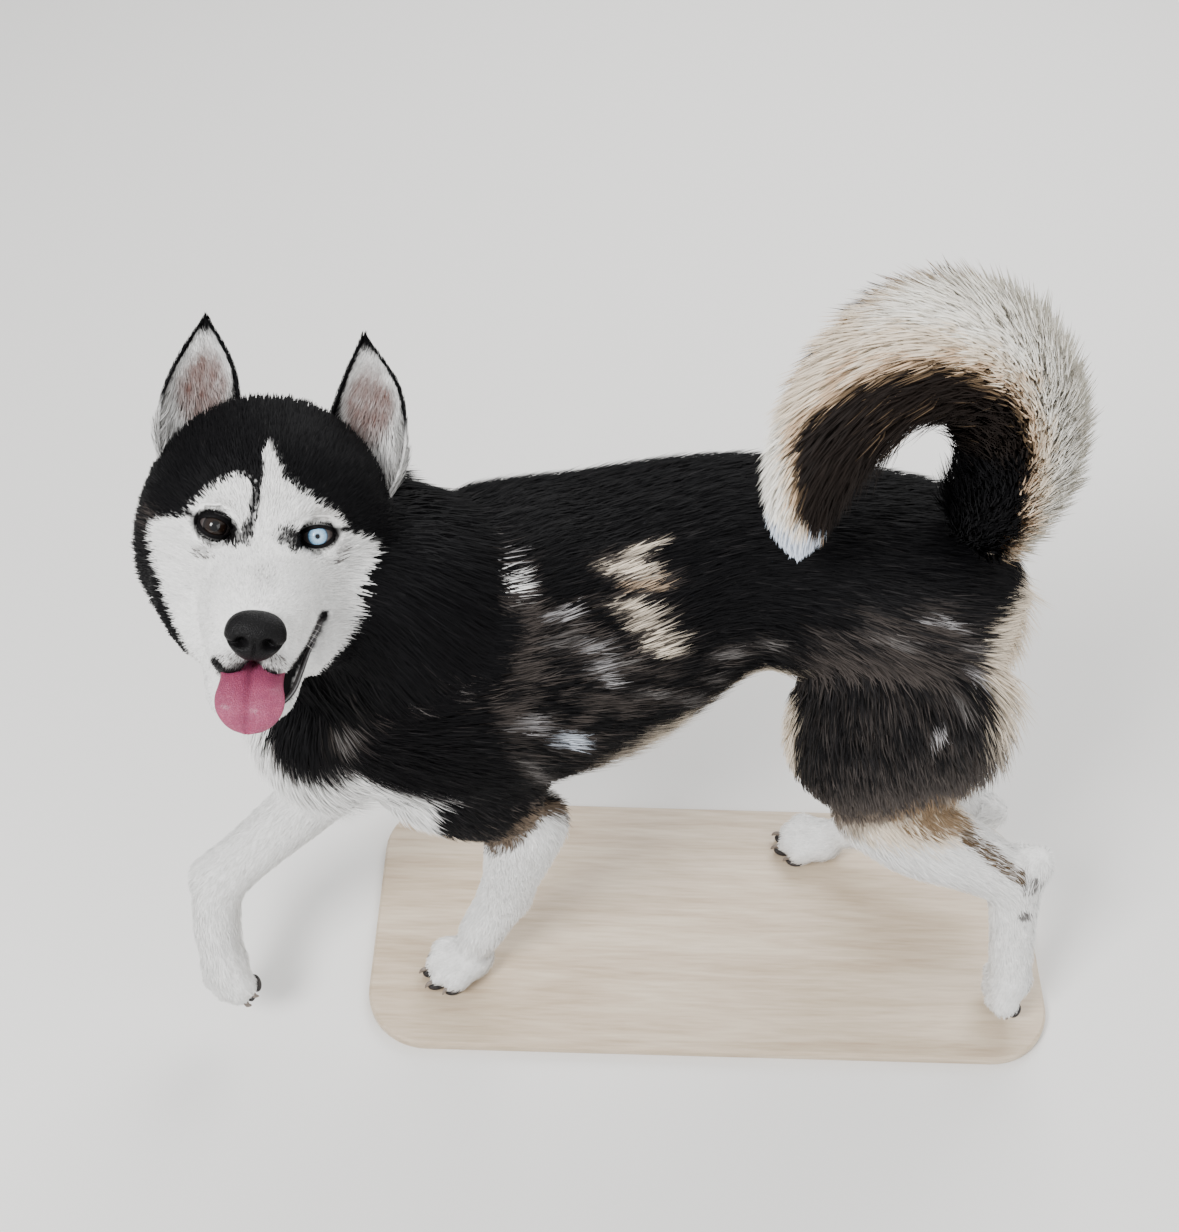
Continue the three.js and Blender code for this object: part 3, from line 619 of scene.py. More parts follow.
# the brownish dark grey tone laid over the black coat is partly brownish hair and partly painted sheen of light on
# the glossy black coat
tones = {"black": (0.0022, 0.0021, 0.0027), "charcoal": (0.012, 0.011, 0.0115), "brownHairAndSheen": (0.06, 0.05, 0.045),
         "grey": (0.15, 0.14, 0.135), "light": (0.34, 0.33, 0.335), "white": (0.77, 0.765, 0.75),
         "cream": (0.72, 0.62, 0.49), "tan": (0.21, 0.14, 0.08), "umber": (0.011, 0.0075, 0.006),
         "peach": (0.58, 0.42, 0.28), "leather": (0.003, 0.0026, 0.003), "bluishShadedWhite": (0.60, 0.66, 0.75),
         "earSkin": (0.155, 0.082, 0.068)}
tones = {name: np.array(tone) for name, tone in tones.items()}


# soft patch: 1 inside an ellipsoid, 0 outside; centre and radii in the same numbers as the points
def patch(points, centre, radii, soft=0.35):
    d = np.linalg.norm((points - np.array(centre)) / np.array(radii), axis=1)
    return 1 - ease(1 - soft, 1 + soft, d)


# distance of flat points from a broken line
def fromLine(spots, corners, closed=False):
    corners = np.array(corners, float)
    ends = np.roll(corners, -1, 0) if closed else corners[1:]
    far = np.full(len(spots), 1e9)
    for a, b in zip(corners, ends):
        share = np.clip((spots - a) @ (b - a) / ((b - a) @ (b - a)), 0, 1)
        far = np.minimum(far, np.linalg.norm(spots - a - share[:, None] * (b - a), axis=1))
    return far


# the same for an outline: positive inside, negative outside
def insideOf(spots, corners):
    corners = np.array(corners, float)
    inside = np.zeros(len(spots), bool)
    u, v = spots.T
    for a, b in zip(corners, np.roll(corners, -1, 0)):
        inside ^= ((a[1] > v) != (b[1] > v)) & (u < (b[0] - a[0]) * (v - a[1]) / (b[1] - a[1] + 1e-9) + a[0])
    return np.where(inside, 1, -1) * fromLine(spots, corners, True)


# The body's markings are drawn on its side plane, which is seen from the left and above: x and
# v = 0.68 z + 0.73 y.
def sidePlane(points):
    return np.stack([points[:, 0], 0.68 * points[:, 2] + 0.73 * points[:, 1]], 1)


# pale wisps of the near side: x, v, half length, half width, slope in degrees, strength, tone
flecks = [
    (-51, 312, 13, 8, 60, 1.0, "white"), (-67, 345, 9, 5, 80, 0.5, "grey"), (-57, 330, 9, 5, 70, 0.75, "light"),
    (36, 330, 24, 9, -8, 0.95, "cream"), (46, 345, 16, 5, 15, 0.8, "cream"), (48, 319, 18, 6, 0, 0.75, "peach"),
    (41, 300, 22, 8, -10, 0.9, "cream"), (53, 287, 20, 7, -14, 0.9, "cream"), (61, 274, 17, 6, -20, 1.0, "cream"),
    (-16, 294, 14, 6, 10, 0.8, "light"), (-13, 275, 19, 9, 0, 0.5, "grey"), (7, 271, 14, 6, 0, 0.75, "light"),
    (16, 254, 16, 8, -25, 0.8, "light"), (31, 261, 11, 5, -10, 0.6, "grey"), (56, 237, 15, 5, -10, 0.65, "grey"),
    (84, 234, 12, 5, -10, 0.6, "grey"), (116, 271, 15, 6, 15, 0.6, "grey"), (150, 281, 13, 6, 0, 0.5, "grey"),
    # the bluish wisp is a pale wisp drawn in painted bluish shade
    (-38, 215, 15, 9, -10, 0.65, "light"), (-8, 202, 12, 8, -20, 0.9, "bluishShadedWhite"), (-34, 176, 21, 7, -50, 0.6, "grey"),
    (-39, 267, 50, 15, 88, 0.75, "brownHairAndSheen"), (-121, 266, 13, 7, -40, 0.8, "grey"),
    (-112, 285, 13, 7, -60, 0.7, "brownHairAndSheen"), (-95, 271, 12, 5, 85, 0.8, "grey"), (-168, 205, 15, 9, 50, 0.7, "grey"),
    (-150, 228, 14, 7, -60, 0.6, "brownHairAndSheen"), (-118, 236, 10, 5, 80, 0.7, "grey"), (-88, 243, 10, 5, 80, 0.6, "grey"),
    # the wisps with x above 200 lie over the thigh: partly grey streaks in the coat, partly painted highlight on the
    # brushed coat
    (-128, 348, 30, 9, 80, 0.3, "brownHairAndSheen"), (104, 250, 12, 5, -10, 0.5, "grey"), (276, 299, 15, 5, -10, 0.7, "light"),
    (253, 261, 36, 18, -10, 0.75, "brownHairAndSheen"), (207, 264, 28, 20, -30, 0.7, "brownHairAndSheen"), (314, 258, 16, 5, -45, 0.7, "light"),
    (305, 234, 12, 5, -50, 0.6, "grey"), (291, 210, 12, 4.5, 70, 0.75, "light"), (303, 281, 13, 5, -30, 0.6, "grey"),
    (-48, 219, 19, 12, 70, 0.6, "brownHairAndSheen"), (24, 230, 26, 11, -20, 0.65, "brownHairAndSheen"), (-22, 155, 14, 5, -50, 0.4, "grey"),
    (60, 255, 22, 9, -10, 0.5, "brownHairAndSheen"), (240, 285, 22, 7, -12, 0.5, "grey"),
]

# white of the face as one outline on the head's face plane (left, up) from the blaze's peak over the
# left cheek, the chin and the right cheek back to the blaze
maskEdge = [(-4, 66), (0, 58), (4, 49), (8, 41), (16, 37), (25, 32), (35, 26), (48, 19), (56, 11), (62, 6), (72, 5),
            (84, 2), (90, -12), (90, -28), (87, -42), (81, -57), (70, -73), (58, -89), (44, -105), (34, -118),
            (30, -160), (-36, -160), (-38, -118), (-44, -105), (-51, -91), (-61, -73), (-74, -49), (-83, -27),
            (-87, -5), (-85, 2), (-71, 4), (-61, 6), (-57, 14), (-48, 23), (-38, 32), (-29, 38), (-21, 40),
            (-14, 35), (-10, 26), (-8, 33), (-7, 43), (-7, 55), (-6, 62)]
mouthLine = {"left": [(47, -57), (43, -67), (38, -80), (32, -91), (25, -103)],
             "right": [(-26, -95), (-20, -103)]}
# dark edge of the tail: how far outwards it lies at each turn
tailEdge = [(-40, 0.35), (-15, 0.1), (15, -0.05), (48, 0.08), (77, 0.28), (100, 0.5), (120, 0.62), (139, 0.72),
            (150, 0.7), (156, 0.5), (169, 0.1), (176, -0.5), (182, -1.2)]


# where a place lies on the tail: turn along the loop in degrees, and how far outwards it faces
def tailPlace(points):
    d = points - np.array([tail["x"], 0, tail["z"]])
    turn = np.degrees(np.arctan2(d[:, 2] / tail["rise"], d[:, 0] / tail["half"]))
    turn = np.where(turn < -80, turn + 360, turn)
    turn = np.clip(turn, tailTurns[0], tailTurns[-1])
    r = np.radians(turn)
    outwards = unit(np.stack([np.cos(r) / tail["half"], 0 * r, np.sin(r) / tail["rise"]], 1))
    away = unit(points - tailPoint(turn).T)
    return turn, dot(away, outwards)


# the head's face plane, seen square on from the front and a little above
def facePlane(own):
    return np.stack([own[:, 1], 0.93 * own[:, 2] - 0.36 * own[:, 0]], 1)


# colours of places p on the named parts, where the skin faces along n; `chance` is given for tufts
def markings(p, part, n, chance=None):
    # share of a tone: soft on the skin, one tone or the other on each tuft
    def blend(colour, tone, k, crisp=0.72):
        if chance is not None:
            k = np.clip((np.asarray(k) - crisp * chance) / (1 - crisp), 0, 1)
        return mix(colour, tones[tone] if isinstance(tone, str) else tone, k)

    def plain(tone):
        return np.tile(tones[tone], (len(p), 1))

    own = head.own(p)
    wobble = waves(p, 26, 11) * 5 + waves(p, 9, 12) * 2.5
    z = p[:, 2] + wobble
    isPart = {key: np.char.startswith(part, key) for key in (
        "torso", "neck", "head", "jaw", "foreleg_left", "foreleg_right", "hindleg_left", "hindleg_right",
        "tail", "lid")}
    strands = waves(p, 14, 5) * 0.5 + waves(p, 5, 6) * 0.5
    streaks = waves(p * np.array([0.45, 1, 1.5]), 15, 21)
    x = p[:, 0]

    # torso and neck: black, a white breast up to the throat, pale belly, wisps on the near flank
    body = isPart["torso"] | isPart["neck"]
    colour = blend(plain("black"), "charcoal", 0.5 * ease(0.0, 0.8, strands))
    fromBreast = p - chestFront
    ahead, aside = fromBreast @ facing(30), np.abs(fromBreast @ facing(120))
    edge = np.interp(aside, [0, 10, 20, 32, 58, 66, 80, 110], [585, 520, 445, 425, 400, 384, 372, 350])
    forward = ease(-128, -100, ahead)
    colour = blend(colour, "grey", 0.7 * ease(16, 0, z - edge) * forward * body)
    colour = blend(colour, "white", ease(7, -9, z - edge) * forward * body)
    below = ease(-0.4, -0.75, n[:, 2]) * body * ease(-95, -125, ahead) * ease(460, 430, p[:, 2])
    dull = mix(tones["grey"], tones["tan"], 0.3)
    colour = blend(colour, mix(dull, tones["cream"] * 0.8, ease(-20, 110, x)), 0.95 * below)
    flat = sidePlane(p)
    v = flat[:, 1] + wobble
    mottle = patch(flat, (6, 240), (80, 62), 0.5) * ease(0.1, 0.7, streaks) * body
    colour = blend(colour, "brownHairAndSheen", 0.75 * mottle)
    fringe = np.interp(x, [-60, -10, 22, 54, 94, 135, 172, 200], [128, 163, 185, 204, 225, 243, 258, 262])
    fringe = ease(7, -7, v - fringe) * isPart["torso"] * ease(-70, -30, x) * ease(215, 185, x)
    colour = blend(colour, mix(dull, tones["cream"] * 0.8, ease(-30, 90, x)), 0.85 * fringe, 0.5)
    haunch = patch(flat, (268, 225), (100, 95), 0.4)
    # lighter streaks over the thigh: painted highlight of light on the brushed black coat
    brushedSheen = np.maximum(patch(flat, (248, 270), (70, 42), 0.5), 0.6 * patch(flat, (275, 195), (85, 62), 0.5))
    colour = blend(colour, "charcoal", 0.8 * haunch * body)
    colour = blend(colour, "brownHairAndSheen", 0.8 * brushedSheen * ease(-0.6, 0.6, streaks) * body, 0.4)

    # hind legs: charcoal, with a pale front edge, cream breeches, tan over the shank and white below
    leftHind = isPart["hindleg_left"]
    legs = leftHind | isPart["hindleg_right"]
    leg = blend(plain("black"), "charcoal", ease(-0.4, 0.5, strands))
    # the same painted highlight on the thigh's brushed coat
    leg = blend(leg, "brownHairAndSheen", 0.8 * brushedSheen * ease(-0.6, 0.6, streaks), 0.4)
    edge = np.interp(x, [200, 240, 258, 283, 315, 345, 380], [272, 262, 264, 277, 300, 322, 345])
    farEdge = ease(9, -9, z - edge)
    edge = np.interp(x, [215, 252, 284, 312, 336, 380], [112, 120, 131, 140, 155, 180])
    pale = np.where(leftHind, ease(9, -11, v - edge), farEdge)
    fringe = ease(0.35, 0.75, n[:, 0]) * ease(300, 330, p[:, 2])
    front = ease(-0.7, -0.97, n[:, 0]) * ease(400, 360, p[:, 2])
    outside = np.where(leftHind, -n[:, 1], n[:, 1])
    inner = ease(-0.25, -0.6, outside) * ease(430, 380, p[:, 2])
    leg = blend(leg, "cream", np.maximum(0.85 * fringe, np.maximum(front, inner)))
    leg = blend(leg, "brownHairAndSheen", 0.8 * ease(75, 15, v - edge) * leftHind, 0.5)
    leg = blend(leg, mix(tones["grey"], tones["tan"], 0.5), 0.7 * ease(26, 0, v - edge) * leftHind, 0.5)
    low = blend(plain("cream"), "white", ease(270, 225, z))
    low = blend(low, "grey", 0.25 * ease(0.2, 0.8, strands) * ease(200, 250, z))
    leg = mix(leg, low, pale)
    outside = ease(-0.3, 0.2, outside)
    leg = blend(leg, "tan", 0.85 * patch(flat, (322, 131), (42, 19), 0.6) * outside)
    streak = ease(11, 3, fromLine(flat, [(344, 112), (366, 98), (398, 75)])) * outside
    leg = blend(leg, tones["tan"] * 0.5, 0.75 * streak)
    spots = 0.6 * patch(flat, (412, 66), (9, 9), 0.5) + patch(flat, (412, 35), (6, 5), 0.5)
    leg = blend(leg, "grey", np.minimum(spots * outside, 0.8))
    colour = np.where(legs[:, None], leg, colour)
    rump = ease(0.35, 0.7, n[:, 0]) * ease(505, 485, p[:, 2]) * isPart["torso"] * ease(300, 330, x)
    colour = blend(colour, "cream", 0.85 * rump)

    # forelegs: the left black to below the elbow, then tan, grey and white; the right white inside
    edge = np.interp(x, [-110, -100, -88, -60, -42, -26], [94, 92, 90, 98, 112, 128])
    white = ease(5, -16, v - edge)
    white = np.maximum(white, ease(-102, -114, x) * ease(380, 366, z))
    leg = blend(plain("black"), "charcoal", 0.6 * ease(-0.2, 0.7, strands))
    leg = blend(leg, "brownHairAndSheen", 0.6 * ease(50, 12, v - edge) * ease(-0.1, 0.8, streaks))
    leg = blend(leg, mix(tones["tan"], tones["grey"], 0.35), 0.7 * ease(20, 2, v - edge) * ease(-84, -64, x), 0.5)
    leg = blend(leg, "grey", 0.7 * ease(3, -6, v - edge))
    leg = blend(leg, "white", np.maximum(white, ease(0.3, 0.6, n[:, 1]) * ease(380, 340, z)))
    colour = np.where(isPart["foreleg_left"][:, None], leg, colour)
    leg = blend(plain("black"), "white", np.maximum(ease(345, 310, z), ease(0.4, 0.0, n[:, 1])))
    colour = np.where(isPart["foreleg_right"][:, None], leg, colour)

    # wisps, each along its own slope and broken into threads, on the side that faces -y
    near = ease(0.25, -0.15, n[:, 1]) * (body | legs)
    for cx, cv, long, wide, slope, strength, tone in flecks:
        r = np.radians(slope)
        u, w = x - cx, flat[:, 1] - cv + wobble * 0.4
        u, w = u * np.cos(r) + w * np.sin(r), w * np.cos(r) - u * np.sin(r)
        d = np.sqrt((u / long) ** 2 + (w / wide) ** 2)
        threads = ease(-0.7, 0.3, waves(np.stack([u * 0.3, w, u * 0], 1), 8, 40))
        if tone != "brownHairAndSheen":
            colour = blend(colour, "brownHairAndSheen", 0.75 * strength * near * (1 - ease(0.8, 1.9, d + 0.35 * strands)), 0.4)
        colour = blend(colour, tone, strength * near * threads * (1 - ease(0.45, 1.25, d + 0.3 * strands)), 0.35)

    # tail: dark towards the loop's inside and round its root, cream outside, white in painted bluish shade at the tip
    turn, radial = tailPlace(p)
    outer = radial + 0.02 * wobble - np.interp(turn, *zip(*tailEdge))
    fur = blend(plain("umber"), "tan", 0.45 * ease(0.0, 0.9, strands) * ease(20, 60, turn) * ease(150, 120, turn))
    fur = blend(fur, tones["tan"] * 0.6, ease(-0.14, 0.02, outer) * ease(10, 40, turn))
    fur = blend(fur, "peach", ease(-0.02, 0.08, outer))
    fur = blend(fur, "cream", ease(0.06, 0.2, outer))
    # the outer white is drawn brighter than the white elsewhere: painted light standing in for light scattered
    # through the long pale hair
    fur = blend(fur, tones["white"] * np.array([1.14, 1.1, 1.02]), 0.9 * ease(0.2, 0.5, outer))
    fur = blend(fur, "black", ease(50, 10, turn) * ease(0.0, -0.1, outer))
    # the tip's white is drawn bluish: painted shade
    fur = blend(fur, "bluishShadedWhite", 0.9 * ease(168, 184, turn) * ease(-0.05, 0.1, outer))
    colour = np.where(isPart["tail"][:, None], fur, colour)

    # head: black cap and ruff, the white mask, the dark marks in it and painted shadow under the nose
    flat = facePlane(own)
    hx, hy, up = own[:, 0], flat[:, 0], flat[:, 1]
    face = isPart["head"] | isPart["jaw"] | isPart["lid"] | (isPart["neck"] & (hx > -50) & (up > -112) & (hy > 0))
    rim = 1.4 + 1.0 * ease(50, 85, np.abs(hy))
    snow = insideOf(flat + np.stack([wobble, wobble], 1) * 0.15, maskEdge) / rim
    snow = ease(-0.5, 0.5, snow) * ease(-86, -72, hx + 0.2 * wobble)
    side = patch(flat, (-87, 2), (10, 12), 0.4)
    fur = blend(blend(plain("black"), "charcoal", 0.4 * ease(0, 0.8, strands)), "brownHairAndSheen", 0.3 * side)
    pale = blend(plain("white"), "grey", 0.1 * ease(0.2, 0.9, waves(p, 20, 31)))
    stripe = ease(3.6, 1.8, fromLine(flat, [(-7.5, 42), (-9.5, 28), (-10, 12), (-11, 2)])) * (np.abs(own[:, 2]) < 90)
    pale = blend(pale, "black", 0.95 * stripe)
    corner = np.maximum(patch(flat, (15, -3), (9, 6.5), 0.4), patch(flat, (-13, -4), (5, 8), 0.4))
    pale = blend(pale, "charcoal", 0.9 * corner * ease(-0.8, 0.2, strands + 0.3))
    # grey marks under the eyes and over the muzzle's bridge; the patch under the nose on the upper lip is partly grey
    # fur and partly painted shadow of the nose
    marksAndNoseShade = 0.5 * patch(flat, (-42, -21), (8, 5), 0.5) + 0.5 * patch(flat, (55, -10), (5, 8), 0.5) \
        + 0.22 * patch(flat, (2, -35), (8, 12), 0.6) + 0.6 * patch(flat, (0, -92), (24, 9), 0.4) * (hx > 75)
    pale = blend(pale, "grey", np.clip(marksAndNoseShade, 0, 1))
    pale = blend(pale, "tan", 0.14 * patch(flat, (42, 17), (14, 7), 0.5))
    fur = mix(fur, pale, snow)
    rims = np.zeros(len(p))
    slant = np.radians(eyeSet["slant"])
    for side, eye in eyes.items():
        q = p - eye["centre"]
        u, v = q @ eye["out"], q @ eye["high"]
        u, v = u * np.cos(slant) + v * np.sin(slant), v * np.cos(slant) - u * np.sin(slant)
        wide = eyeSet["rim"][side]
        r = np.sqrt((u / (eyeSet["openWide"] + wide)) ** 2 + (v / (eyeSet["openUp"] + wide)) ** 2)
        close = (q @ eye["gaze"] > -6) & (np.linalg.norm(q, axis=1) < 34)
        tear = patch(np.stack([u, v], 1), (-17, -4), (7, 3.4), 0.4)
        outerCorner = patch(np.stack([u, v], 1), (18, 2), (6, 2), 0.5)
        rims = np.maximum(rims, np.maximum(ease(1.12, 0.94, r), np.maximum(tear, outerCorner)) * close)
    fur = mix(fur, tones["leather"], rims)
    lip = ease(4.4, 2.4, fromLine(flat, mouthLine["left"])) + ease(4, 2.2, fromLine(flat, mouthLine["right"]))
    lip = lip * (hx > -6) * (own[:, 2] > -112) * ~isPart["neck"]
    palate = isPart["head"] * ease(-0.2, -0.6, n @ head.top) * ease(30, 40, hx) * ease(22, 17, np.abs(own[:, 1]))
    mouthBed = isPart["jaw"] * ease(0.2, 0.5, n @ head.top) * ease(10, 20, hx) * ease(31, 27, own[:, 1]) \
        * ease(-22, -17, own[:, 1])
    fur = mix(fur, tones["leather"], np.clip(lip + palate + mouthBed, 0, 1))
    colour = np.where(face[:, None], fur, colour)
    return np.clip(colour * (1 + 0.08 * strands)[:, None], 0.0015, 0.95)


# ears: black backs and rims, pale hair and warm skin inside; share runs up the ear, edge across it
def earMarkings(points, share, inside, edge):
    fur = np.tile(tones["black"], (len(points), 1))
    pale = mix(np.tile(tones["white"], (len(points), 1)), tones["grey"], 0.18 + 0.18 * waves(points, 12, 3))
    warm = 1 - ease(0.6, 1.15, np.sqrt(((edge + 0.05) / 0.62) ** 2 + ((share - 0.52) / 0.3) ** 2))
    warm = warm * (0.92 + 0.2 * waves(points * np.array([1, 1, 0.3]), 7, 9))
    pale = mix(pale, tones["earSkin"], np.clip((0.85 if inside else 0) * warm, 0, 1))
    rough = 0.05 * waves(points, 9, 8)
    if inside:
        k = ease(-0.8, -0.68, edge + rough - 0.1 * ease(0.4, 0.9, share))
        k = k * ease(1.04, 0.94, edge + rough + 0.38 * ease(0.42, 0.85, share)) * ease(0.93, 0.86, share)
    else:
        k = ease(0.72, 0.9, edge + rough) * ease(0.55, 0.4, share)
    return mix(fur, pale, k)


# The coat is made of tufts, tapering ridged blades. For each place: length, half width, lift (share of
# the length that the tip stands off) and how dense they are beside the other places of a piece.
coat = {
    "torso": {"long": 30, "wide": 0.62, "lift": 0.25, "dense": 12.0},
    "neck": {"long": 44, "wide": 0.75, "lift": 0.27, "dense": 9.0},
    "head": {"long": 12, "wide": 0.45, "lift": 0.24, "dense": 36.0},
    "jaw": {"long": 8, "wide": 0.45, "lift": 0.2, "dense": 34.0},
    "legUpper": {"long": 20, "wide": 0.6, "lift": 0.22, "dense": 14.0},
    "legLower": {"long": 9, "wide": 0.48, "lift": 0.2, "dense": 20.0},
    "thigh": {"long": 25, "wide": 0.62, "lift": 0.24, "dense": 13.0},
    "shank": {"long": 14, "wide": 0.52, "lift": 0.2, "dense": 17.0},
    "paw": {"long": 6.5, "wide": 0.45, "lift": 0.22, "dense": 26.0},
    "tail": {"long": 48, "wide": 0.8, "lift": 0.56, "dense": 26.0},
}


def coatKind(name):
    for key, kind in (("paw", "paw"), ("torso", "torso"), ("head", "head"), ("forearm", "legLower"),
                      ("wrist", "legLower"), ("foot", "legLower"), ("_upper", "legUpper"), ("_thigh", "thigh"),
                      ("_shank", "shank")):
        if key in name:
            return kind
    return name


kinds = np.array([coatKind(name) for name in names])
noseTip = head.place(112, 0, -30)


# the way the hair runs at each place, before it is laid flat on the skin
def runOf(points, loftNumber):
    run = np.zeros_like(points)
    for number, loft in enumerate(lofts):
        mine = loftNumber == number
        if not mine.any():
            continue
        p, kind = points[mine], kinds[number]
        share, middle, tangent, side, top = loft.nearest(p, 60)
        if loft.name == "torsoBreast":
            v = tangent + np.array([0.4, 0, 0])
        elif kind == "torso":
            v = -tangent + np.array([0, 0, -0.35]) * ease(0.6, -0.2, unit(p - middle)[:, 2])[:, None]
        elif kind == "neck":
            v = -tangent + np.array([0, 0, -0.3])
        elif kind in ("head", "jaw"):
            v = unit(p - noseTip) + 0.25 * -upwards * ease(60, 90, np.abs(head.own(p)[:, 1]))[:, None]
        elif kind in ("legUpper", "thigh", "legLower", "shank"):
            v = tangent + (0.7 if kind == "thigh" else 0.2) * np.array([0.8, 0, -0.3])
        else:
            v = tangent
        run[mine] = v
    return unit(run)


skinRun = runOf(skinPoints, skinLoft)
for _ in range(24):
    skinRun = unit(skinRun + 1.5 * spread(skinRun))
skinRun = unit(skinRun - dot(skinRun, skinNormals)[:, None] * skinNormals)
colourOn(skin, "coatColour", markings(skinPoints, names[skinLoft], skinNormals))
print("stage: markings and lie of the coat")


# tuft rings: at share s along the tuft the middle is root + run*long*s + normal*long*lift*sin(s*pi/2),
# bent towards its clump's tip; each ring has a left edge, a raised ridge and a right edge. The
# shading normals lean towards the skin's own, and by `open` upwards, so that the coat is lit as one soft
# mass. clumpGap is the number of tufts in a clump, clump how far they lean into it.
tuft = {"joints": 2, "curl": 0.12, "ridge": 0.55, "sunk": 1.2, "mostLift": 0.94, "patch": 0.003}
thinned, widened = ((1, 1.0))
coats = []


def growCoat(name, roots, normals, runs, colours, sizes, spots, clumpGap, clump, open=0.0):
    n, joints = len(roots), tuft["joints"]
    long, wide, lift = (sizes[:, k] for k in range(3))
    runs = unit(runs - dot(runs, normals)[:, None] * normals)
    sides = np.cross(normals, runs)
    runs = unit(runs + sides * rng.normal(0, tuft["curl"], n)[:, None])
    sides = np.cross(normals, runs)
    long = long * rng.uniform(0.7, 1.2, n)
    lift = np.minimum(lift * rng.uniform(0.5, 1.35, n), tuft["mostLift"])
    tips = roots + runs * (long * np.sqrt(1 - lift ** 2))[:, None] + normals * (long * lift)[:, None]
    # clumps: every tuft leans towards the tip of the nearest chosen tuft
    picked = rng.choice(n, int(n / clumpGap), replace=False)
    chosen = picked[finder(roots[picked])(roots)]
    gather = (clump * rng.uniform(0.3, 1.2, n))[:, None]
    offset = (roots[chosen] + (tips[chosen] - roots[chosen]) * (long / np.maximum(long[chosen], 1))[:, None]) - tips
    reach = np.minimum(np.linalg.norm(offset, axis=1, keepdims=True), 0.4 * long[:, None])
    offset = unit(offset) * reach
    shares = np.linspace(0, 1, joints + 1)
    widths = np.interp(shares, [0, 0.35, 0.75, 1], [0.8, 1, 0.62, 0])
    points, tint, shading = [], [], []
    # pale hair lets light through, so that its painted root shade and its spread are drawn less dark
    pale = ease(0.1, 0.5, colours.mean(1))
    for s, w in zip(shares, widths):
        rise = np.sin(s * np.pi / 2)
        middle = roots + (tips - roots) * s
        middle = middle + normals * (long * lift * (rise - s) * 0.8)[:, None] + offset * gather * s ** 1.6
        if s == 0:
            middle = middle - normals * tuft["sunk"]
        if s == 1:
            points.append(middle[:, None])
            tint.append(np.ones((n, 1)) * 1.06)
            shading.append((normals + 0.15 * runs)[:, None])
            continue
        half = (wide * w)[:, None]
        ridge = middle + normals * half * tuft["ridge"]
        points.append(np.stack([middle - sides * half, ridge, middle + sides * half], 1))
        # rings darken towards the root, painted shade deep in the coat, while the tip is drawn a little lighter
        tint.append(np.tile((0.74 + 0.3 * s + (0.19 - 0.19 * s) * pale)[:, None], (1, 3)))
        shading.append(np.stack([normals - 0.35 * sides, normals, normals + 0.35 * sides], 1))
    points = np.concatenate(points, 1)
    tint = np.concatenate(tint, 1)
    count = points.shape[1]
    faces = []
    for ring in range(joints - 1):
        a, b = ring * 3, ring * 3 + 3
        for k in (0, 1):
            faces += [[a + k, b + k + 1, a + k + 1], [a + k, b + k, b + k + 1]]
    a = (joints - 1) * 3
    faces += [[a, a + 3, a + 1], [a + 1, a + 3, a + 2]]
    faces = np.array(faces)
    every = (np.arange(n)[:, None, None] * count + faces[None]).reshape(-1, 3)
    piece = makeMesh(name, toWorld(points.reshape(-1, 3)), every)
    lean = np.concatenate(shading, 1) + open * upwards
    lean = unit(lean + 0.18 * rng.normal(size=(n, 1, 3))).reshape(-1, 3)
    piece.data.normals_split_custom_set_from_vertices(lean.astype(np.float32))
    shade = colours * (1 + (rng.uniform(0.8, 1.2, (n, 1)) - 1) * (1 - 0.55 * pale[:, None]))
    colourOn(piece, "coatColour", np.clip((shade[:, None] * tint[..., None]).reshape(-1, 3), 0.001, 0.93))
    # OFBake: each tuft is a small patch at its root's place on the unwrap
    ringAt = np.array([[k / joints, c] for k in range(joints) for c in (0, 0.5, 1)] + [[1, 0.5]])
    own = spots[:, None] + (ringAt[None] - 0.5) * tuft["patch"]
    layer = piece.data.uv_layers.new(name="OFBake")
    layer.data.foreach_set("uv", own.reshape(-1, 2)[every.ravel()].astype(np.float32).ravel())
    coats.append(piece)
    print("stage: coat", name, n, "tufts", len(every), "triangles")


# places on triangles, spread evenly by weight, with their barycentric shares
def scatter(weights, n):
    total = np.cumsum(weights)
    at = (np.arange(n) + rng.uniform(0, 1, n)) / n * total[-1]
    picked = np.searchsorted(total, at)
    r = np.sqrt(rng.uniform(0, 1, n))
    s = rng.uniform(0, 1, n)
    shares = np.stack([1 - r, r * (1 - s), r * s], 1)
    return picked, shares


def areaOf(points, faces):
    return np.linalg.norm(crossOf(points, faces), axis=1) / 2


def atShares(values, faces, picked, shares):
    return sum(values[faces[picked, k]] * shares[:, k, None] for k in range(3))


# unwrap of the skin's own shape: every loft is rolled out, turn against length, in a cell of its own
def unrolled(points, loftNumber):
    side = int(np.ceil(np.sqrt(len(lofts))))
    spots = np.zeros((len(points), 2))
    for number, loft in enumerate(lofts):
        mine = loftNumber == number
        if not mine.any():
            continue
        share, middle, tangent, across, top = loft.nearest(points[mine], 80)
        d = points[mine] - middle
        turn = np.arctan2(dot(d, across), dot(d, top))
        share = share + dot(d, tangent) / 600
        cell = np.stack([turn / (2 * np.pi) + 0.5, np.clip(share, 0, 1)], 1)
        corner = np.array([number % side, number // side])
        spots[mine] = (corner + 0.03 + 0.94 * cell) / side
    return spots


faceArea = areaOf(skinPoints, skinFaces)
faceLoft = skinLoft[skinFaces[:, 0]]
faceKind = kinds[faceLoft]
faceMiddle = skinPoints[skinFaces].mean(1)
faceNormal = unit(crossOf(skinPoints, skinFaces))


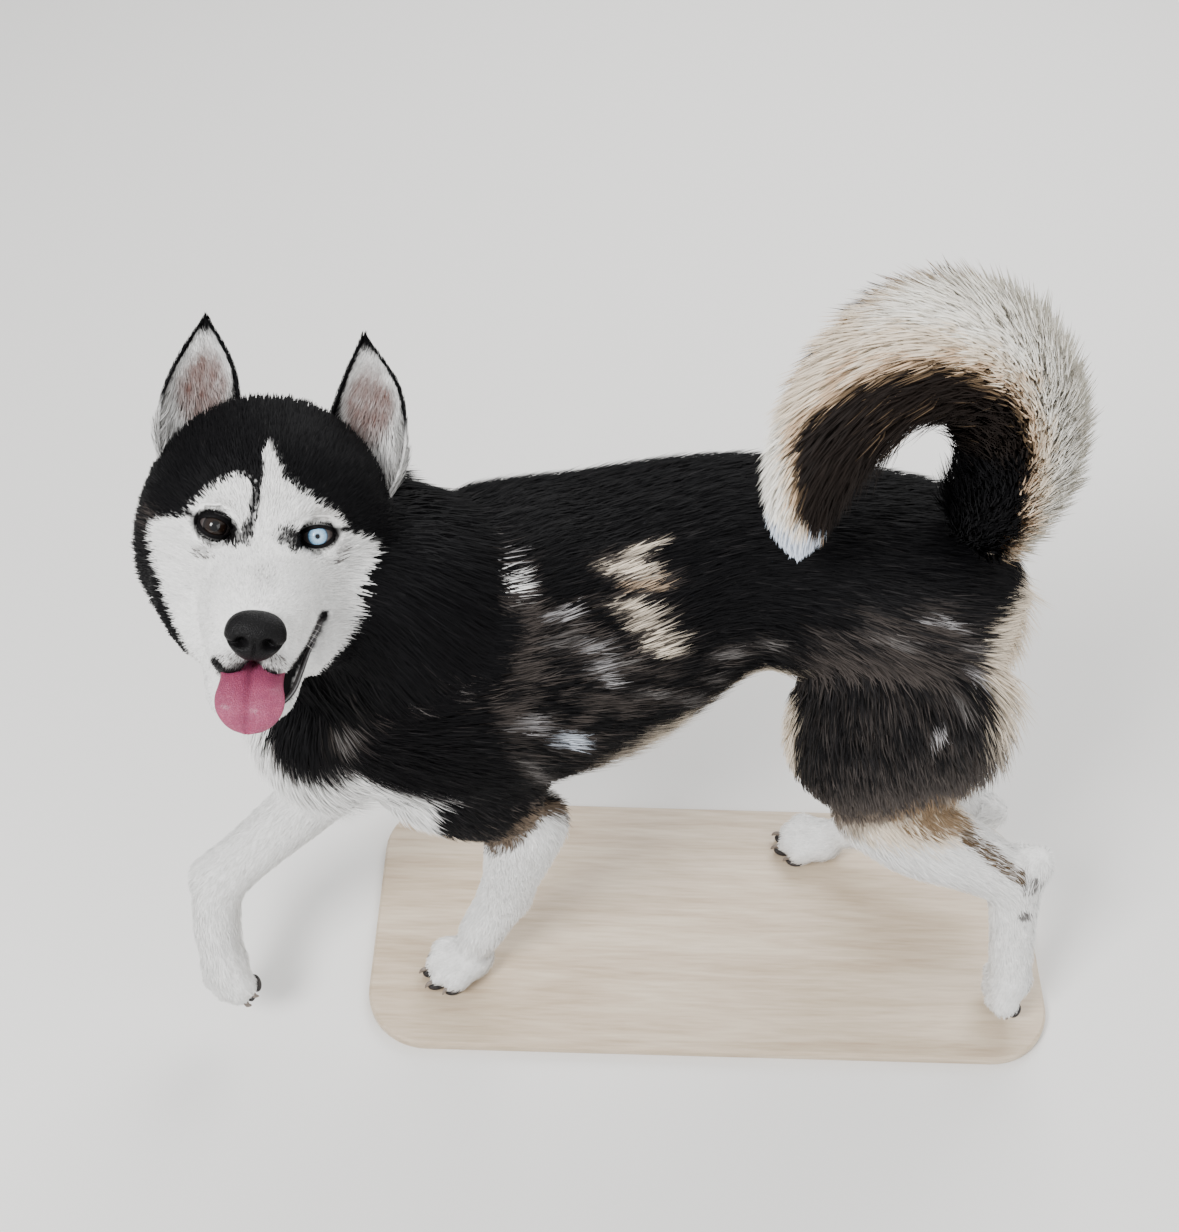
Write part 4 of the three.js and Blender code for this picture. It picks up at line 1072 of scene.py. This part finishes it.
# length, width and lift of the coat at points of one kind of place
def coatSize(points, loftNumber, normals):
    kind = kinds[loftNumber]
    size = np.array([[coat[k][key] for key in ("long", "wide", "lift")] for k in kinds])[loftNumber]
    own = head.own(points)
    face = np.isin(kind, ["head", "jaw"])
    x, ay = own[:, 0], np.abs(own[:, 1])
    muzzle = ease(4, 34, x)
    cheek = ease(48, 80, ay) * ease(10, -30, own[:, 2]) * ease(26, -14, x)
    rear = ease(-40, -76, x)
    size[face, 0] = (9.0 - 4.4 * muzzle + 5 * cheek + 18 * rear)[face]
    size[face, 1] = (0.42 - 0.08 * muzzle + 0.06 * cheek + 0.2 * rear)[face]
    size[face, 2] = (0.17 + 0.03 * cheek - 0.03 * rear - 0.01 * muzzle)[face]
    torso = kind == "torso"
    under = ease(-0.3, -0.9, normals[:, 2])
    breast = ease(-60, -140, points[:, 0]) * ease(440, 380, points[:, 2])
    size[torso, 0] *= (1 + 0.6 * under + 0.3 * breast - 0.15 * ease(0.5, 1, normals[:, 2]))[torso]
    size[torso, 2] *= (1 + 0.7 * under)[torso]
    # feathering down the back of the legs, breeches behind the thighs
    for number, loft in enumerate(lofts):
        mine, onLeg = loftNumber == number, kinds[number]
        if onLeg not in ("legUpper", "legLower", "thigh"):
            continue
        behind = ease(0.2, 0.9, normals[mine] @ -loft.ahead)
        gain = {"legUpper": 0.3, "legLower": 0.8 if "foreleg" in loft.name else 0.15, "thigh": 1.2}[onLeg]
        size[mine, 0] *= 1 + gain * behind
        size[mine, 2] *= 1 + 0.3 * behind
        if onLeg == "thigh":
            size[mine, 0] *= 1 - 0.5 * ease(390, 300, points[mine, 2])
        if onLeg == "legUpper":
            size[mine, 0] *= 1 - 0.55 * ease(95, 45, np.linalg.norm(points[mine] - loft.line[-1], axis=1))
    tailed = kind == "tail"
    turn, radial = tailPlace(points[tailed])
    full = np.interp(turn, tailTurns, tailShares)
    size[tailed, 0] *= full * (1 - 0.22 * ease(-0.1, 0.8, radial)) * (1 - 0.5 * ease(160, 195, turn))
    size[tailed, 2] *= 1 - 0.45 * ease(120, 185, turn)
    return size


skinSize = coatSize(skinPoints, skinLoft, skinNormals)
tailSkin = (kinds[skinLoft] == "tail")[:, None]
for _ in range(18):
    skinSize = np.where(tailSkin, skinSize, mix(skinSize, spread(skinSize), 0.7))
nearestSkin = finder(skinPoints)


# each tuft takes the markings of the place that it covers, not of its root
def seenColours(roots, runs, sizes, parts):
    onHead = np.char.startswith(parts, "head")
    reach = np.where(onHead | (parts == "jaw"), 0.4, 0.45)[:, None]
    seen = roots + runs * sizes[:, :1] * reach
    nearest = nearestSkin(seen)
    part = np.where(parts == "tail", "tail", names[skinLoft[nearest]])
    chance = rng.uniform(0, 1, len(roots))
    chance = np.where(parts == "tail", 0.3 + 0.4 * chance, chance)
    first = markings(seen, part, skinNormals[nearest], chance)
    # on the face a tuft that reaches into a dark place is dark, which keeps the edges clean
    onFace = onHead | ((parts == "neck") & (head.own(roots)[:, 0] > -62))
    if not onFace.any():
        return first
    second = markings(roots + runs * sizes[:, :1] * 0.95, part, skinNormals[nearest], chance)
    return np.where((onFace & (second.sum(1) < first.sum(1)))[:, None], second, first)


# no tufts grow round the eyeballs, under the nose, inside the mouth and along the left corner of it
keepOff = np.zeros(len(skinFaces), bool)
for eye in eyes.values():
    keepOff |= np.linalg.norm(faceMiddle - eye["centre"] - eye["gaze"] * 6, axis=1) < 17
faceOwn = head.own(faceMiddle)
onSkull, onJaw, narrow = faceKind == "head", faceKind == "jaw", np.abs(faceOwn[:, 1]) < 24
upwardness = faceNormal @ head.top
keepOff |= (faceOwn[:, 0] > 96) & (faceOwn[:, 2] > -52) & narrow & onSkull
keepOff |= (faceOwn[:, 0] > 20) & narrow & ((onSkull & (upwardness < -0.5)) | (onJaw & (upwardness > 0.3)))
keepOff |= (onSkull | onJaw) & (faceOwn[:, 0] > -10) & (fromLine(facePlane(faceOwn), mouthLine["left"]) < 2.8)

# pieces of the coat: where each grows, and its tufts
sections = {
    "coatBodyLeft": ((faceKind == "torso") & (faceNormal[:, 1] < 0), 33000),
    "coatBodyRight": ((faceKind == "torso") & (faceNormal[:, 1] >= 0), 33000),
    "coatRuff": (faceKind == "neck", 33000),
    "coatHead": (onSkull | onJaw, 33000),
    "coatForelegs": (np.char.startswith(names, "foreleg")[faceLoft], 28000),
    "coatHindlegs": (np.char.startswith(names, "hindleg")[faceLoft], 33000),
    "coatTail": (faceKind == "tail", 33000),
}
dense = np.array([coat[k]["dense"] for k in kinds])[faceLoft]
for name, (mask, n) in sections.items():
    picked, shares = scatter(faceArea * dense * mask * ~keepOff, n // thinned)
    roots = atShares(skinPoints, skinFaces, picked, shares)
    up = unit(atShares(skinNormals, skinFaces, picked, shares))
    run = unit(atShares(skinRun, skinFaces, picked, shares))
    number = faceLoft[picked]
    sizes = atShares(skinSize, skinFaces, picked, shares)
    tint = seenColours(roots, run, sizes, names[number])
    growCoat(name, roots, up, run, tint, sizes * np.array([1, widened, 1]), unrolled(roots, number),
             clumpGap=14, clump=0.5 if name in ("coatTail", "coatRuff") else 0.32,
             open=0.55 if name == "coatTail" else 0.1)

# ears and lids carry their own short coat
for side, sign in (("left", 1), ("right", -1)):
    parts, shades = [], []
    earUp = unit(head.place(-66, sign * 59, 141) - head.place(-58, sign * 58, 40))
    earFoot = head.place(-60, sign * 60, 60)
    for shape, inside in zip(earShapes[side], (0, 1)):
        rows, columns = shape.shape[:2]
        pts = shape.reshape(-1, 3)
        i, j = np.meshgrid(np.arange(rows - 1), np.arange(columns - 1), indexing="ij")
        a = (i * columns + j).ravel()
        tri = np.vstack([np.stack([a, a + 1, a + columns + 1], 1), np.stack([a, a + columns + 1, a + columns], 1)])
        share = np.repeat(np.linspace(0, 1, rows), columns)
        edge = np.tile(np.linspace(-1, 1, columns), rows)
        normal = normalsOf(pts, tri)
        away = pts - (earFoot + ((pts - earFoot) @ head.top)[:, None] * head.top)
        normal = normal * np.sign(dot(normal, away).sum()) * (-1 if inside else 1)
        n = (3400 if inside else 4400) // thinned
        picked, shares = scatter(areaOf(pts, tri), n)
        roots = atShares(pts, tri, picked, shares)
        up = unit(atShares(normal, tri, picked, shares))
        sh = atShares(share[:, None], tri, picked, shares)[:, 0]
        ed = atShares(edge[:, None], tri, picked, shares)[:, 0]
        run = np.tile(earUp, (n, 1))
        if inside:
            # long pale hair from the inner edge and the foot, combed up and outwards
            foot = ease(0.7, 0.3, sh)
            run = unit(run + head.left * (sign * 0.2) - 0.7 * (ed * sign)[:, None] * head.left * foot[:, None])
            long, wide, lift = 7 + 15 * foot * (0.3 + 0.7 * np.abs(ed)), 0.38, 0.18 + 0.22 * foot
        else:
            long, wide, lift = 5.5 + 9 * ease(0.45, 0.2, sh), 0.45, np.full(n, 0.16)
        sizes = np.stack([long, np.full(n, wide * widened), lift], 1)
        spots = np.stack([(ed * 0.5 + 0.5) * 0.44 + 0.03 + 0.5 * inside, sh * 0.94 + 0.03], 1)
        parts.append((roots, up, run, earMarkings(roots, sh, inside, ed), sizes, spots))
        shades.append(earMarkings(pts, share, inside, edge).reshape(shape.shape))
    growCoat(f"coatEar{side.title()}", *(np.vstack(part) for part in zip(*parts)), clumpGap=8, clump=0.3)
    shade = np.concatenate([shades[0], shades[1][:, ::-1]], axis=1)
    colourOn(ears[side], "coatColour", np.vstack([shade[0].mean(0), shade.reshape(-1, 3), shade[-1].mean(0)]))

lidPieces = []
for side, eye in eyes.items():
    rings, columns = lids[side].shape[:2]
    pts = lids[side].reshape(-1, 3)
    i, j = np.meshgrid(np.arange(rings - 1), np.arange(columns), indexing="ij")
    a, b = (i * columns + j).ravel(), (i * columns + (j + 1) % columns).ravel()
    tri = trianglesOf(np.stack([a, b, b + columns, a + columns], 1))
    normal = normalsOf(pts, tri)
    if (normal @ eye["gaze"]).sum() < 0:
        tri, normal = tri[:, ::-1], -normal
    piece = makeMesh(f"lid{side.title()}", toWorld(pts), tri)
    colourOn(piece, "coatColour", markings(pts, np.full(len(pts), "lid"), normal))
    lidPieces.append(piece)
    outside = np.repeat(np.arange(rings) >= 4, columns)[tri].all(1)
    n = 2600 // thinned
    picked, shares = scatter(areaOf(pts, tri) * outside, n)
    roots = atShares(pts, tri, picked, shares)
    up = unit(atShares(normal, tri, picked, shares))
    out = roots - eye["centre"]
    away = unit(out - (out @ eye["gaze"])[:, None] * eye["gaze"])
    run = unit(unit(roots - noseTip) + 0.7 * away)
    reach = np.linalg.norm(out, axis=1)
    sizes = np.stack([2.8 + 4.5 * ease(14, 22, reach), np.full(n, 0.34 * widened), np.full(n, 0.2)], 1)
    spots = np.stack([np.arctan2(out @ eye["high"], out @ eye["out"]) / 6.6 + 0.5,
                      np.clip(reach / 30, 0.02, 0.98)], 1)
    tint = markings(roots + run * sizes[:, :1] * 0.4, np.full(n, "lid"), up)
    growCoat(f"coatLid{side.title()}", roots, up, run, tint, sizes, spots, clumpGap=6, clump=0.25)

# half angles of iris and pupil in degrees, and the colours from the pupil outwards
irisSet = {
    "left": {"iris": 37, "pupil": 10, "inner": (0.32, 0.48, 0.62), "outer": (0.17, 0.33, 0.50),
             "limbus": (0.03, 0.05, 0.08)},
    "right": {"iris": 46, "pupil": 19, "inner": (0.013, 0.007, 0.0045), "outer": (0.008, 0.0045, 0.0035),
              "limbus": (0.002, 0.0018, 0.002)},
}
eyeWhite, pupilBlack = np.array([0.06, 0.05, 0.048]), np.array([0.004, 0.004, 0.005])


# eyeball: a ball with a low bulge in front
def eyeBall(side):
    eye, own = eyes[side], irisSet[side]
    polar = np.linspace(0.02, np.pi - 0.02, 60)
    turn = circle(72)[None, :, None]
    r = eyeSet["radius"] + 0.7 * ease(0.75, 0.2, polar)
    rows = eye["centre"] + (r * np.cos(polar))[:, None, None] * eye["gaze"] \
        + (r * np.sin(polar))[:, None, None] * (np.cos(turn) * eye["out"] + np.sin(turn) * eye["high"])
    piece = gridPiece(f"eye{side.title()}", rows)
    q = unit(pointsOf(piece) - eye["centre"])
    angle = np.arccos(np.clip(q @ eye["gaze"], -1, 1))
    around = np.arctan2(q @ eye["high"], q @ eye["out"])
    iris, pupil = np.radians(own["iris"]), np.radians(own["pupil"])
    inner, outer, limbus = (np.array(own[key]) for key in ("inner", "outer", "limbus"))
    streak = 0.5 + 0.25 * np.sin(around * 23 + 1.7 * np.sin(around * 7)) + 0.25 * np.sin(around * 41 + 2)
    tint = mix(np.tile(inner, (len(q), 1)), outer, ease(pupil, iris, angle)) * (0.75 + 0.5 * streak)[:, None]
    tint = mix(tint, limbus, ease(iris * 0.86, iris * 0.98, angle))
    tint = mix(tint, eyeWhite, ease(iris, iris * 1.12, angle))
    tint = mix(np.tile(pupilBlack, (len(q), 1)), tint, ease(pupil * 0.9, pupil * 1.08, angle))
    colourOn(piece, "eyeColour", tint)
    return piece


eyeBalls = {side: eyeBall(side) for side in eyes}


noseSet = {"middle": (106, 0, -39.5), "wide": 21, "tall": 17, "deep": 13, "square": 2.4}


# squared ball: forward, left and up radii, with two comma nostrils and a groove pressed in
def noseRows():
    polar = np.linspace(0.03, np.pi - 0.03, 70)
    turn = circle(96)
    c, s = np.cos(polar)[:, None], np.sin(polar)[:, None]
    e = 2 / noseSet["square"]
    left, top = powered(np.cos(turn), e) * s ** e, powered(np.sin(turn), e) * s ** e
    ahead = powered(c, e) + 0 * left
    x = noseSet["deep"] * ahead
    y = noseSet["wide"] * left * (1 - 0.34 * (top < 0) * -top)
    z = noseSet["tall"] * top
    x = x - 2.2 * (z > 4) * (z - 4) / 12
    for sign in (1, -1):
        d = np.sqrt(((y - sign * 8.6) / 4.4) ** 2 + ((z + 1.0) / 4.2) ** 2)
        side = np.sqrt(((y - sign * 15.5) / 7.0) ** 2 + ((z + 3.2) / 1.7) ** 2)
        front = ahead > 0.1
        x = x - front * (9.0 * np.exp(-d ** 2 * 1.5) + 4.5 * np.exp(-side ** 2 * 1.2))
    x = x - (ahead > 0.1) * 1.6 * np.exp(-(y / 1.1) ** 2) * ease(6, -2, z)
    mx, my, mz = noseSet["middle"]
    return head.place(mx + x, my + y, mz + z)


nose = gridPiece("noseLeather", noseRows(), 1)

tongueSet = {"line": [(8, 0, -78), (40, 0, -74), (66, 0, -76), (90, 1, -82), (107, 2, -92), (112, 2.5, -110)],
             "half": [17, 20, 21.5, 22.5, 23, 19.5], "thick": [5, 5.5, 6, 6, 5.2, 4.2]}


# across the tongue: top = thick*(1 - groove) with raised sides, underside flatter; tip rounded off
def tongueRows():
    t = np.linspace(0, 1, 60)
    line = through(tongueSet["line"], t)
    half = curve(tongueSet["half"], t) * np.sqrt(1 - np.clip((t - 0.82) / 0.18, 0, 1) ** 2.2 * 0.985)
    thick = curve(tongueSet["thick"], t) * (1 - 0.6 * ease(0.9, 1, t))
    step = unit(np.gradient(line, axis=0))
    over = np.stack([-step[:, 2], 0 * t, step[:, 0]], 1)
    c, s = np.cos(circle(64)), np.sin(circle(64))
    groove = 1.9 * np.exp(-(c / 0.13) ** 2) * (s > 0)
    lobes = 1.1 * np.exp(-((np.abs(c) - 0.5) / 0.3) ** 2) * (s > 0)
    rise = thick[:, None] * powered(s, 0.8) + (lobes - groove) * ease(0.05, 0.3, t)[:, None] \
        * (1 - 0.5 * ease(0.85, 1, t))[:, None]
    y = half[:, None] * c * (1 + 0.03 * np.sin(t * 19)[:, None])
    return head.place(line[:, :1] + over[:, :1] * rise, y, line[:, 2:3] + over[:, 2:3] * rise)


tongue = gridPiece("tongueFlesh", tongueRows(), 1)


# tube round a line, stretched across and upwards
def tube(line, radius, sides, wide=1.0, tall=1.0):
    step = unit(np.gradient(line, axis=0))
    across = unit(np.cross(step, upwards))
    top = np.cross(across, step)
    a = circle(sides)[None, :, None]
    return line[:, None] + radius[:, None, None] * (wide * np.cos(a) * across[:, None]
                                                    + tall * np.sin(a) * top[:, None])


# lip: a soft black bead along an open line on the edge of the mouth; radius shrinks to its ends
def beadAlong(name, line, radius):
    t = np.linspace(0, 1, 70)
    r = radius * (0.25 + 0.75 * np.sqrt(np.clip(np.sin(np.pi * t), 0, 1)))
    return gridPiece(name, head.placeAll(tube(through(line, t), r, 14, tall=0.6)))


lips = [
    beadAlong("lipUpperLeft", [(6, 46, -60), (24, 42, -65), (42, 36, -71)], 2.4),
    beadAlong("lipLower", [(8, 45, -62), (22, 42, -70), (40, 37, -77), (62, 33, -83), (84, 28, -89), (100, 18, -93),
                           (105, 2, -95), (101, -12, -93), (95, -18, -92)], 2.1),
]


# roof and back of the mouth: a dark cushion between the jaws
def mouthRows():
    t = np.linspace(0, 1, 30)
    line = through([(-8, 0, -70), (20, 0, -66), (50, 0, -59), (86, 0, -55)], t)
    half, tall, a = curve([36, 31, 26, 17], t), curve([14, 8, 5, 3], t), circle(40)
    cap = np.sqrt(1 - np.clip(1 - np.minimum(t, 1 - t) / 0.12, 0, 1) ** 2) * 0.98 + 0.02
    y = (half * cap)[:, None] * np.cos(a)
    z = line[:, 2:3] + (tall * cap)[:, None] * np.sin(a)
    return head.place(line[:, :1] + 0 * y, y, z)


mouth = gridPiece("mouthInside", mouthRows())


# claw: a short hooked tube at the end of a toe
def clawRows(f, y, reach, side):
    t = np.linspace(0, 1, 16)
    line = through([(reach - 5, y, 12), (reach + 3.5, y + side * 0.2, 11.5), (reach + 7.5, y + side * 0.3, 6.5)], t)
    r = curve([2.5, 2.2, 0.6], t) * np.sqrt(1 - np.clip((t - 0.9) / 0.1, 0, 1) ** 2 * 0.9)
    return f.placeAll(tube(line, r, 12, 0.8, 1.15))


# pad: a flattened ball under a toe or the palm
def padRows(f, x, y, long, wide, tall, high):
    polar = np.linspace(0.05, np.pi - 0.05, 16)
    a = circle(20)
    px = x + long * np.cos(polar)[:, None] + 0 * a
    py = y + wide * np.sin(polar)[:, None] * np.cos(a)
    pz = high + tall * np.sin(polar)[:, None] * np.sin(a)
    return f.place(px, py, np.maximum(pz, 0.9))


claws, pads = [], []
for name, f in paws.items():
    for number, (y, reach, side) in enumerate(toeRows):
        claws.append(gridPiece(f"{name}_claw{number}", clawRows(f, y, reach, side)))
        pads.append(gridPiece(f"{name}_pad{number}", padRows(f, reach - 5, y, 9, 6.2, 4.5, 5)))
    pads.append(gridPiece(f"{name}_padPalm", padRows(f, -2, 0, 13, 15, 5, 5.6)))


def joined(pieces, name):
    bpy.ops.object.select_all(action="DESELECT")
    for piece in pieces:
        piece.select_set(True)
    bpy.context.view_layer.objects.active = pieces[0]
    bpy.ops.object.join()
    pieces[0].name = pieces[0].data.name = name
    return pieces[0]


claws = joined(claws, "claws")
pads = joined(pads, "pawPads")
lips = joined(lips, "lips")


# whiskers and brow hairs: long thin tufts
def whiskers():
    roots, ends = [], []
    for sign in (1, -1):
        for row in range(2):
            for k in range(3):
                x, z = 82 - 9 * k, -42 - 6 * row
                roots.append((x, sign * (27 + 0.12 * k), z))
                ends.append((x - 6 - 4 * k, sign * (48 + 3 * k), z - 6 - 6 * row))
        for k in range(4):
            roots.append((8 - 2 * k, sign * (26 + 6 * k), 20 - k))
            ends.append((14 - 2 * k, sign * (28 + 8 * k), 34 - 2 * k))
    roots, ends = (head.place(*np.array(v, float).T) for v in (roots, ends))
    n = len(roots)
    shares = np.linspace(0, 1, 8)
    side = unit(np.cross(ends - roots, head.top))
    up = unit(np.cross(side, ends - roots))
    rows = []
    for s in shares:
        mid = roots + (ends - roots) * s - upwards * (9 * s * s)
        w = 0.2 * (1 - s) + 0.04
        rows.append(np.stack([mid - side * w, mid + up * w, mid + side * w], 1))
    pts = np.concatenate(rows, 1)
    count = pts.shape[1]
    faces = []
    for ring in range(len(shares) - 1):
        for k in range(3):
            a, b = ring * 3 + k, ring * 3 + (k + 1) % 3
            faces += [[a, b, b + 3], [a, b + 3, a + 3]]
    every = (np.arange(n)[:, None, None] * count + np.array(faces)[None]).reshape(-1, 3)
    return makeMesh("whiskers", toWorld(pts.reshape(-1, 3)), every)


whisker = whiskers()
print("stage: features")


# inputs of a node by name: each takes a number, a colour or another node's output
def feed(mat, node, inputs):
    for key, value in inputs.items():
        if isinstance(value, bpy.types.NodeSocket):
            mat.node_tree.links.new(value, node.inputs[key])
        else:
            node.inputs[key].default_value = value


def addNode(mat, kind, inputs=None, **settings):
    node = mat.node_tree.nodes.new("ShaderNode" + kind)
    for key, value in settings.items():
        setattr(node, key, value)
    feed(mat, node, inputs or {})
    return node


def newMaterial(name, inputs):
    mat = bpy.data.materials.new(name)
    mat.use_nodes = True
    shader = mat.node_tree.nodes["Principled BSDF"]
    feed(mat, shader, inputs)
    return mat, shader


def rampOf(mat, source, low, high, start, end):
    ramp = addNode(mat, "ValToRGB", {"Fac": source})
    for stop, colour, place in zip(ramp.color_ramp.elements, (low, high), (start, end)):
        stop.color, stop.position = (*colour, 1), place
    return ramp.outputs["Color"]


# fur colour from the markings, finely varied; pale hair is duller than black hair
def furMaterial(name, grainSize, bumpDepth, rough):
    mat, shader = newMaterial(name, {"Specular IOR Level": 0.09})
    tint = addNode(mat, "Attribute", attribute_name="coatColour").outputs["Color"]
    where = addNode(mat, "TexCoord").outputs["Object"]
    grain = addNode(mat, "TexNoise", {"Scale": grainSize, "Detail": 3, "Vector": where}).outputs["Fac"]
    vary = addNode(mat, "MapRange", {"To Min": 0.82, "To Max": 1.16, "Value": grain}).outputs["Result"]
    scale = addNode(mat, "VectorMath", {0: tint, "Scale": vary}, operation="SCALE")
    bright = addNode(mat, "RGBToBW", {"Color": tint}).outputs["Val"]
    dull = addNode(mat, "MapRange", {"From Max": 0.5, "To Min": rough, "To Max": rough + 0.22, "Value": bright})
    feed(mat, shader, {"Base Color": scale.outputs["Vector"], "Roughness": dull.outputs["Result"]})
    if bumpDepth:
        bump = addNode(mat, "Bump", {"Strength": 0.6, "Distance": bumpDepth, "Height": grain})
        feed(mat, shader, {"Normal": bump.outputs["Normal"]})
    return mat


# wet or dry leather: colour ramp over cells or noise, with bump
def hideMaterial(name, low, high, scale, depth, rough, coatWeight=0.0, cells=True, subsurface=0.0, shine=0.3):
    mat, shader = newMaterial(name, {
        "Roughness": rough, "Specular IOR Level": shine, "Coat Weight": coatWeight, "Coat Roughness": 0.15,
        "Subsurface Weight": subsurface})
    where = addNode(mat, "TexCoord").outputs["Object"]
    if cells:
        grain = addNode(mat, "TexVoronoi", {"Scale": scale, "Vector": where}).outputs["Distance"]
    else:
        grain = addNode(mat, "TexNoise", {"Detail": 5, "Scale": scale, "Vector": where}).outputs["Fac"]
    broad = addNode(mat, "TexNoise", {"Scale": scale * 0.08, "Vector": where}).outputs["Fac"]
    both = addNode(mat, "Math", {0: grain, 1: broad}, operation="MULTIPLY").outputs["Value"]
    bump = addNode(mat, "Bump", {"Strength": 0.8, "Distance": depth, "Height": grain}, invert=cells)
    feed(mat, shader, {"Base Color": rampOf(mat, both, low, high, 0.1, 0.55), "Normal": bump.outputs["Normal"]})
    if subsurface:
        feed(mat, shader, {"Subsurface Radius": (0.006, 0.002, 0.001), "Subsurface Scale": 1.0})
    return mat


def eyeMaterial():
    mat, shader = newMaterial("eyeWet", {
        "Roughness": 0.12, "Specular IOR Level": 0.25, "Coat Weight": 0.45, "Coat Roughness": 0.02})
    feed(mat, shader, {"Base Color": addNode(mat, "Attribute", attribute_name="eyeColour").outputs["Color"]})
    return mat


# base: satin pale wood with long grain along x
def woodMaterial():
    mat, shader = newMaterial("baseWood", {"Roughness": 0.42})
    where = addNode(mat, "TexCoord").outputs["Object"]
    stretch = addNode(mat, "Mapping", {"Scale": (1.2, 14, 14), "Vector": where}).outputs["Vector"]
    broad = addNode(mat, "TexNoise", {"Scale": 3.5, "Detail": 6, "Distortion": 1.2, "Vector": stretch})
    fine = addNode(mat, "TexNoise", {"Scale": 26, "Detail": 4, "Vector": stretch}).outputs["Fac"]
    both = addNode(mat, "Mix", {"Factor": 0.35, "A": broad.outputs["Fac"], "B": fine}, data_type="FLOAT")
    colour = rampOf(mat, both.outputs["Result"], (0.42, 0.32, 0.22), (0.60, 0.50, 0.38), 0.35, 0.65)
    bump = addNode(mat, "Bump", {"Strength": 0.25, "Distance": 0.0006, "Height": fine})
    feed(mat, shader, {"Base Color": colour, "Normal": bump.outputs["Normal"]})
    return mat


def dress(piece, mat):
    piece.data.materials.clear()
    piece.data.materials.append(mat)


coatFur, skinFur = furMaterial("coatFur", 900, 0, 0.6), furMaterial("underFur", 420, 0.001, 0.65)
for pieces, mat in ((coats, coatFur), ([skin, *ears.values(), *lidPieces], skinFur),
                    (eyeBalls.values(), eyeMaterial())):
    for piece in pieces:
        dress(piece, mat)
# piece, name, dark and pale colour, grain, bump depth, roughness, and what differs from plain leather
hides = [
    (nose, "noseLeather", (0.0015, 0.0014, 0.0016), (0.006, 0.0055, 0.006), 900, 0.0005, 0.45, {"shine": 0.12}),
    (lips, "lipLeather", (0.006, 0.005, 0.006), (0.03, 0.024, 0.025), 500, 0.0004, 0.35,
     {"coatWeight": 0.3, "cells": False}),
    (tongue, "tongueFlesh", (0.20, 0.032, 0.075), (0.35, 0.08, 0.145), 1100, 0.0005, 0.46,
     {"coatWeight": 0.08, "subsurface": 0.15}),
    (mouth, "mouthFlesh", (0.03, 0.008, 0.01), (0.12, 0.035, 0.04), 300, 0.0005, 0.4,
     {"coatWeight": 0.2, "cells": False}),
    (claws, "clawHorn", (0.10, 0.08, 0.065), (0.34, 0.29, 0.25), 260, 0.0002, 0.35, {"cells": False}),
    (pads, "padLeather", (0.008, 0.007, 0.007), (0.05, 0.042, 0.04), 700, 0.0006, 0.6, {}),
    (whisker, "whiskerHair", (0.5, 0.48, 0.45), (0.75, 0.73, 0.7), 200, 0.0001, 0.4, {"cells": False}),
]
for piece, name, low, high, grain, depth, rough, more in hides:
    dress(piece, hideMaterial(name, low, high, grain, depth, rough, **more))
dress(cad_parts["stand_base"], woodMaterial())

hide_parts(*flesh)
for side in ("left", "right"):
    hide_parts(f"ear_{side}")
    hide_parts(f"eye_{side}")
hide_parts("nose")
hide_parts("tongue")
for piece in [skin, *ears.values(), *lidPieces, *coats, *eyeBalls.values(), nose, lips, tongue, mouth, claws,
              pads, whisker]:
    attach(piece, "root")

# floor, light, camera

floorMesh = bpy.data.meshes.new("floor")
halfFloor = 6
corners = [(x * halfFloor, y * halfFloor, 0) for x, y in ((-1, -1), (1, -1), (1, 1), (-1, 1))]
floorMesh.from_pydata(corners, [], [(0, 1, 2, 3)])
floor = bpy.data.objects.new("floor", floorMesh)
bpy.context.scene.collection.objects.link(floor)
dress(floor, newMaterial("palePaint", {"Base Color": (0.78, 0.77, 0.75, 1), "Roughness": 0.85})[0])

world = bpy.data.worlds.new("studio")
world.use_nodes = True
world.node_tree.nodes["Background"].inputs["Color"].default_value = (1, 1, 1, 1)
world.node_tree.nodes["Background"].inputs["Strength"].default_value = 0.75
bpy.context.scene.world = world
aim = Vector((0, 0, 0.35))
lamps = {
    "key": {"at": (-1.4, -1.6, 2.6), "size": 1.0, "power": 125},
    "fill": {"at": (1.9, -1.8, 1.6), "size": 2.4, "power": 42},
    "back": {"at": (0.7, 2.0, 2.2), "size": 1.8, "power": 70},
}
for name, lamp in lamps.items():
    light = bpy.data.lights.new(name, "AREA")
    light.energy, light.size = lamp["power"], lamp["size"]
    holder = bpy.data.objects.new(name, light)
    holder.location = lamp["at"]
    holder.rotation_euler = (aim - Vector(lamp["at"])).to_track_quat("-Z", "Y").to_euler()
    bpy.context.scene.collection.objects.link(holder)

view = {"tiltDown": 47.1, "roll": 1.6, "focal": 1708, "imageTall": 1232, "sensor": 36}
tilt, roll = np.radians(view["tiltDown"]), np.radians(view["roll"])
forward = np.array([0, np.cos(tilt), -np.sin(tilt)])
level, plumb = np.array([1.0, 0, 0]), np.array([0, np.sin(tilt), np.cos(tilt)])
right = level * np.cos(roll) + plumb * np.sin(roll)
plumb = plumb * np.cos(roll) - level * np.sin(roll)
camera = bpy.data.objects.new("camera", bpy.data.cameras.new("camera"))
camera.data.sensor_fit = "VERTICAL"
camera.data.sensor_height = view["sensor"]
camera.data.lens = view["focal"] / view["imageTall"] * view["sensor"]
camera.data.clip_start = 0.05
camera.matrix_world = Matrix.Translation(Vector(toWorld(cameraSpot))) @ Matrix(
    np.stack([right, plumb, -forward], 1).tolist()).to_4x4()
bpy.context.scene.collection.objects.link(camera)
bpy.context.scene.camera = camera
print("stage: materials, floor, light and camera")


def plain(box):
    return [list(map(float, corner)) for corner in box]
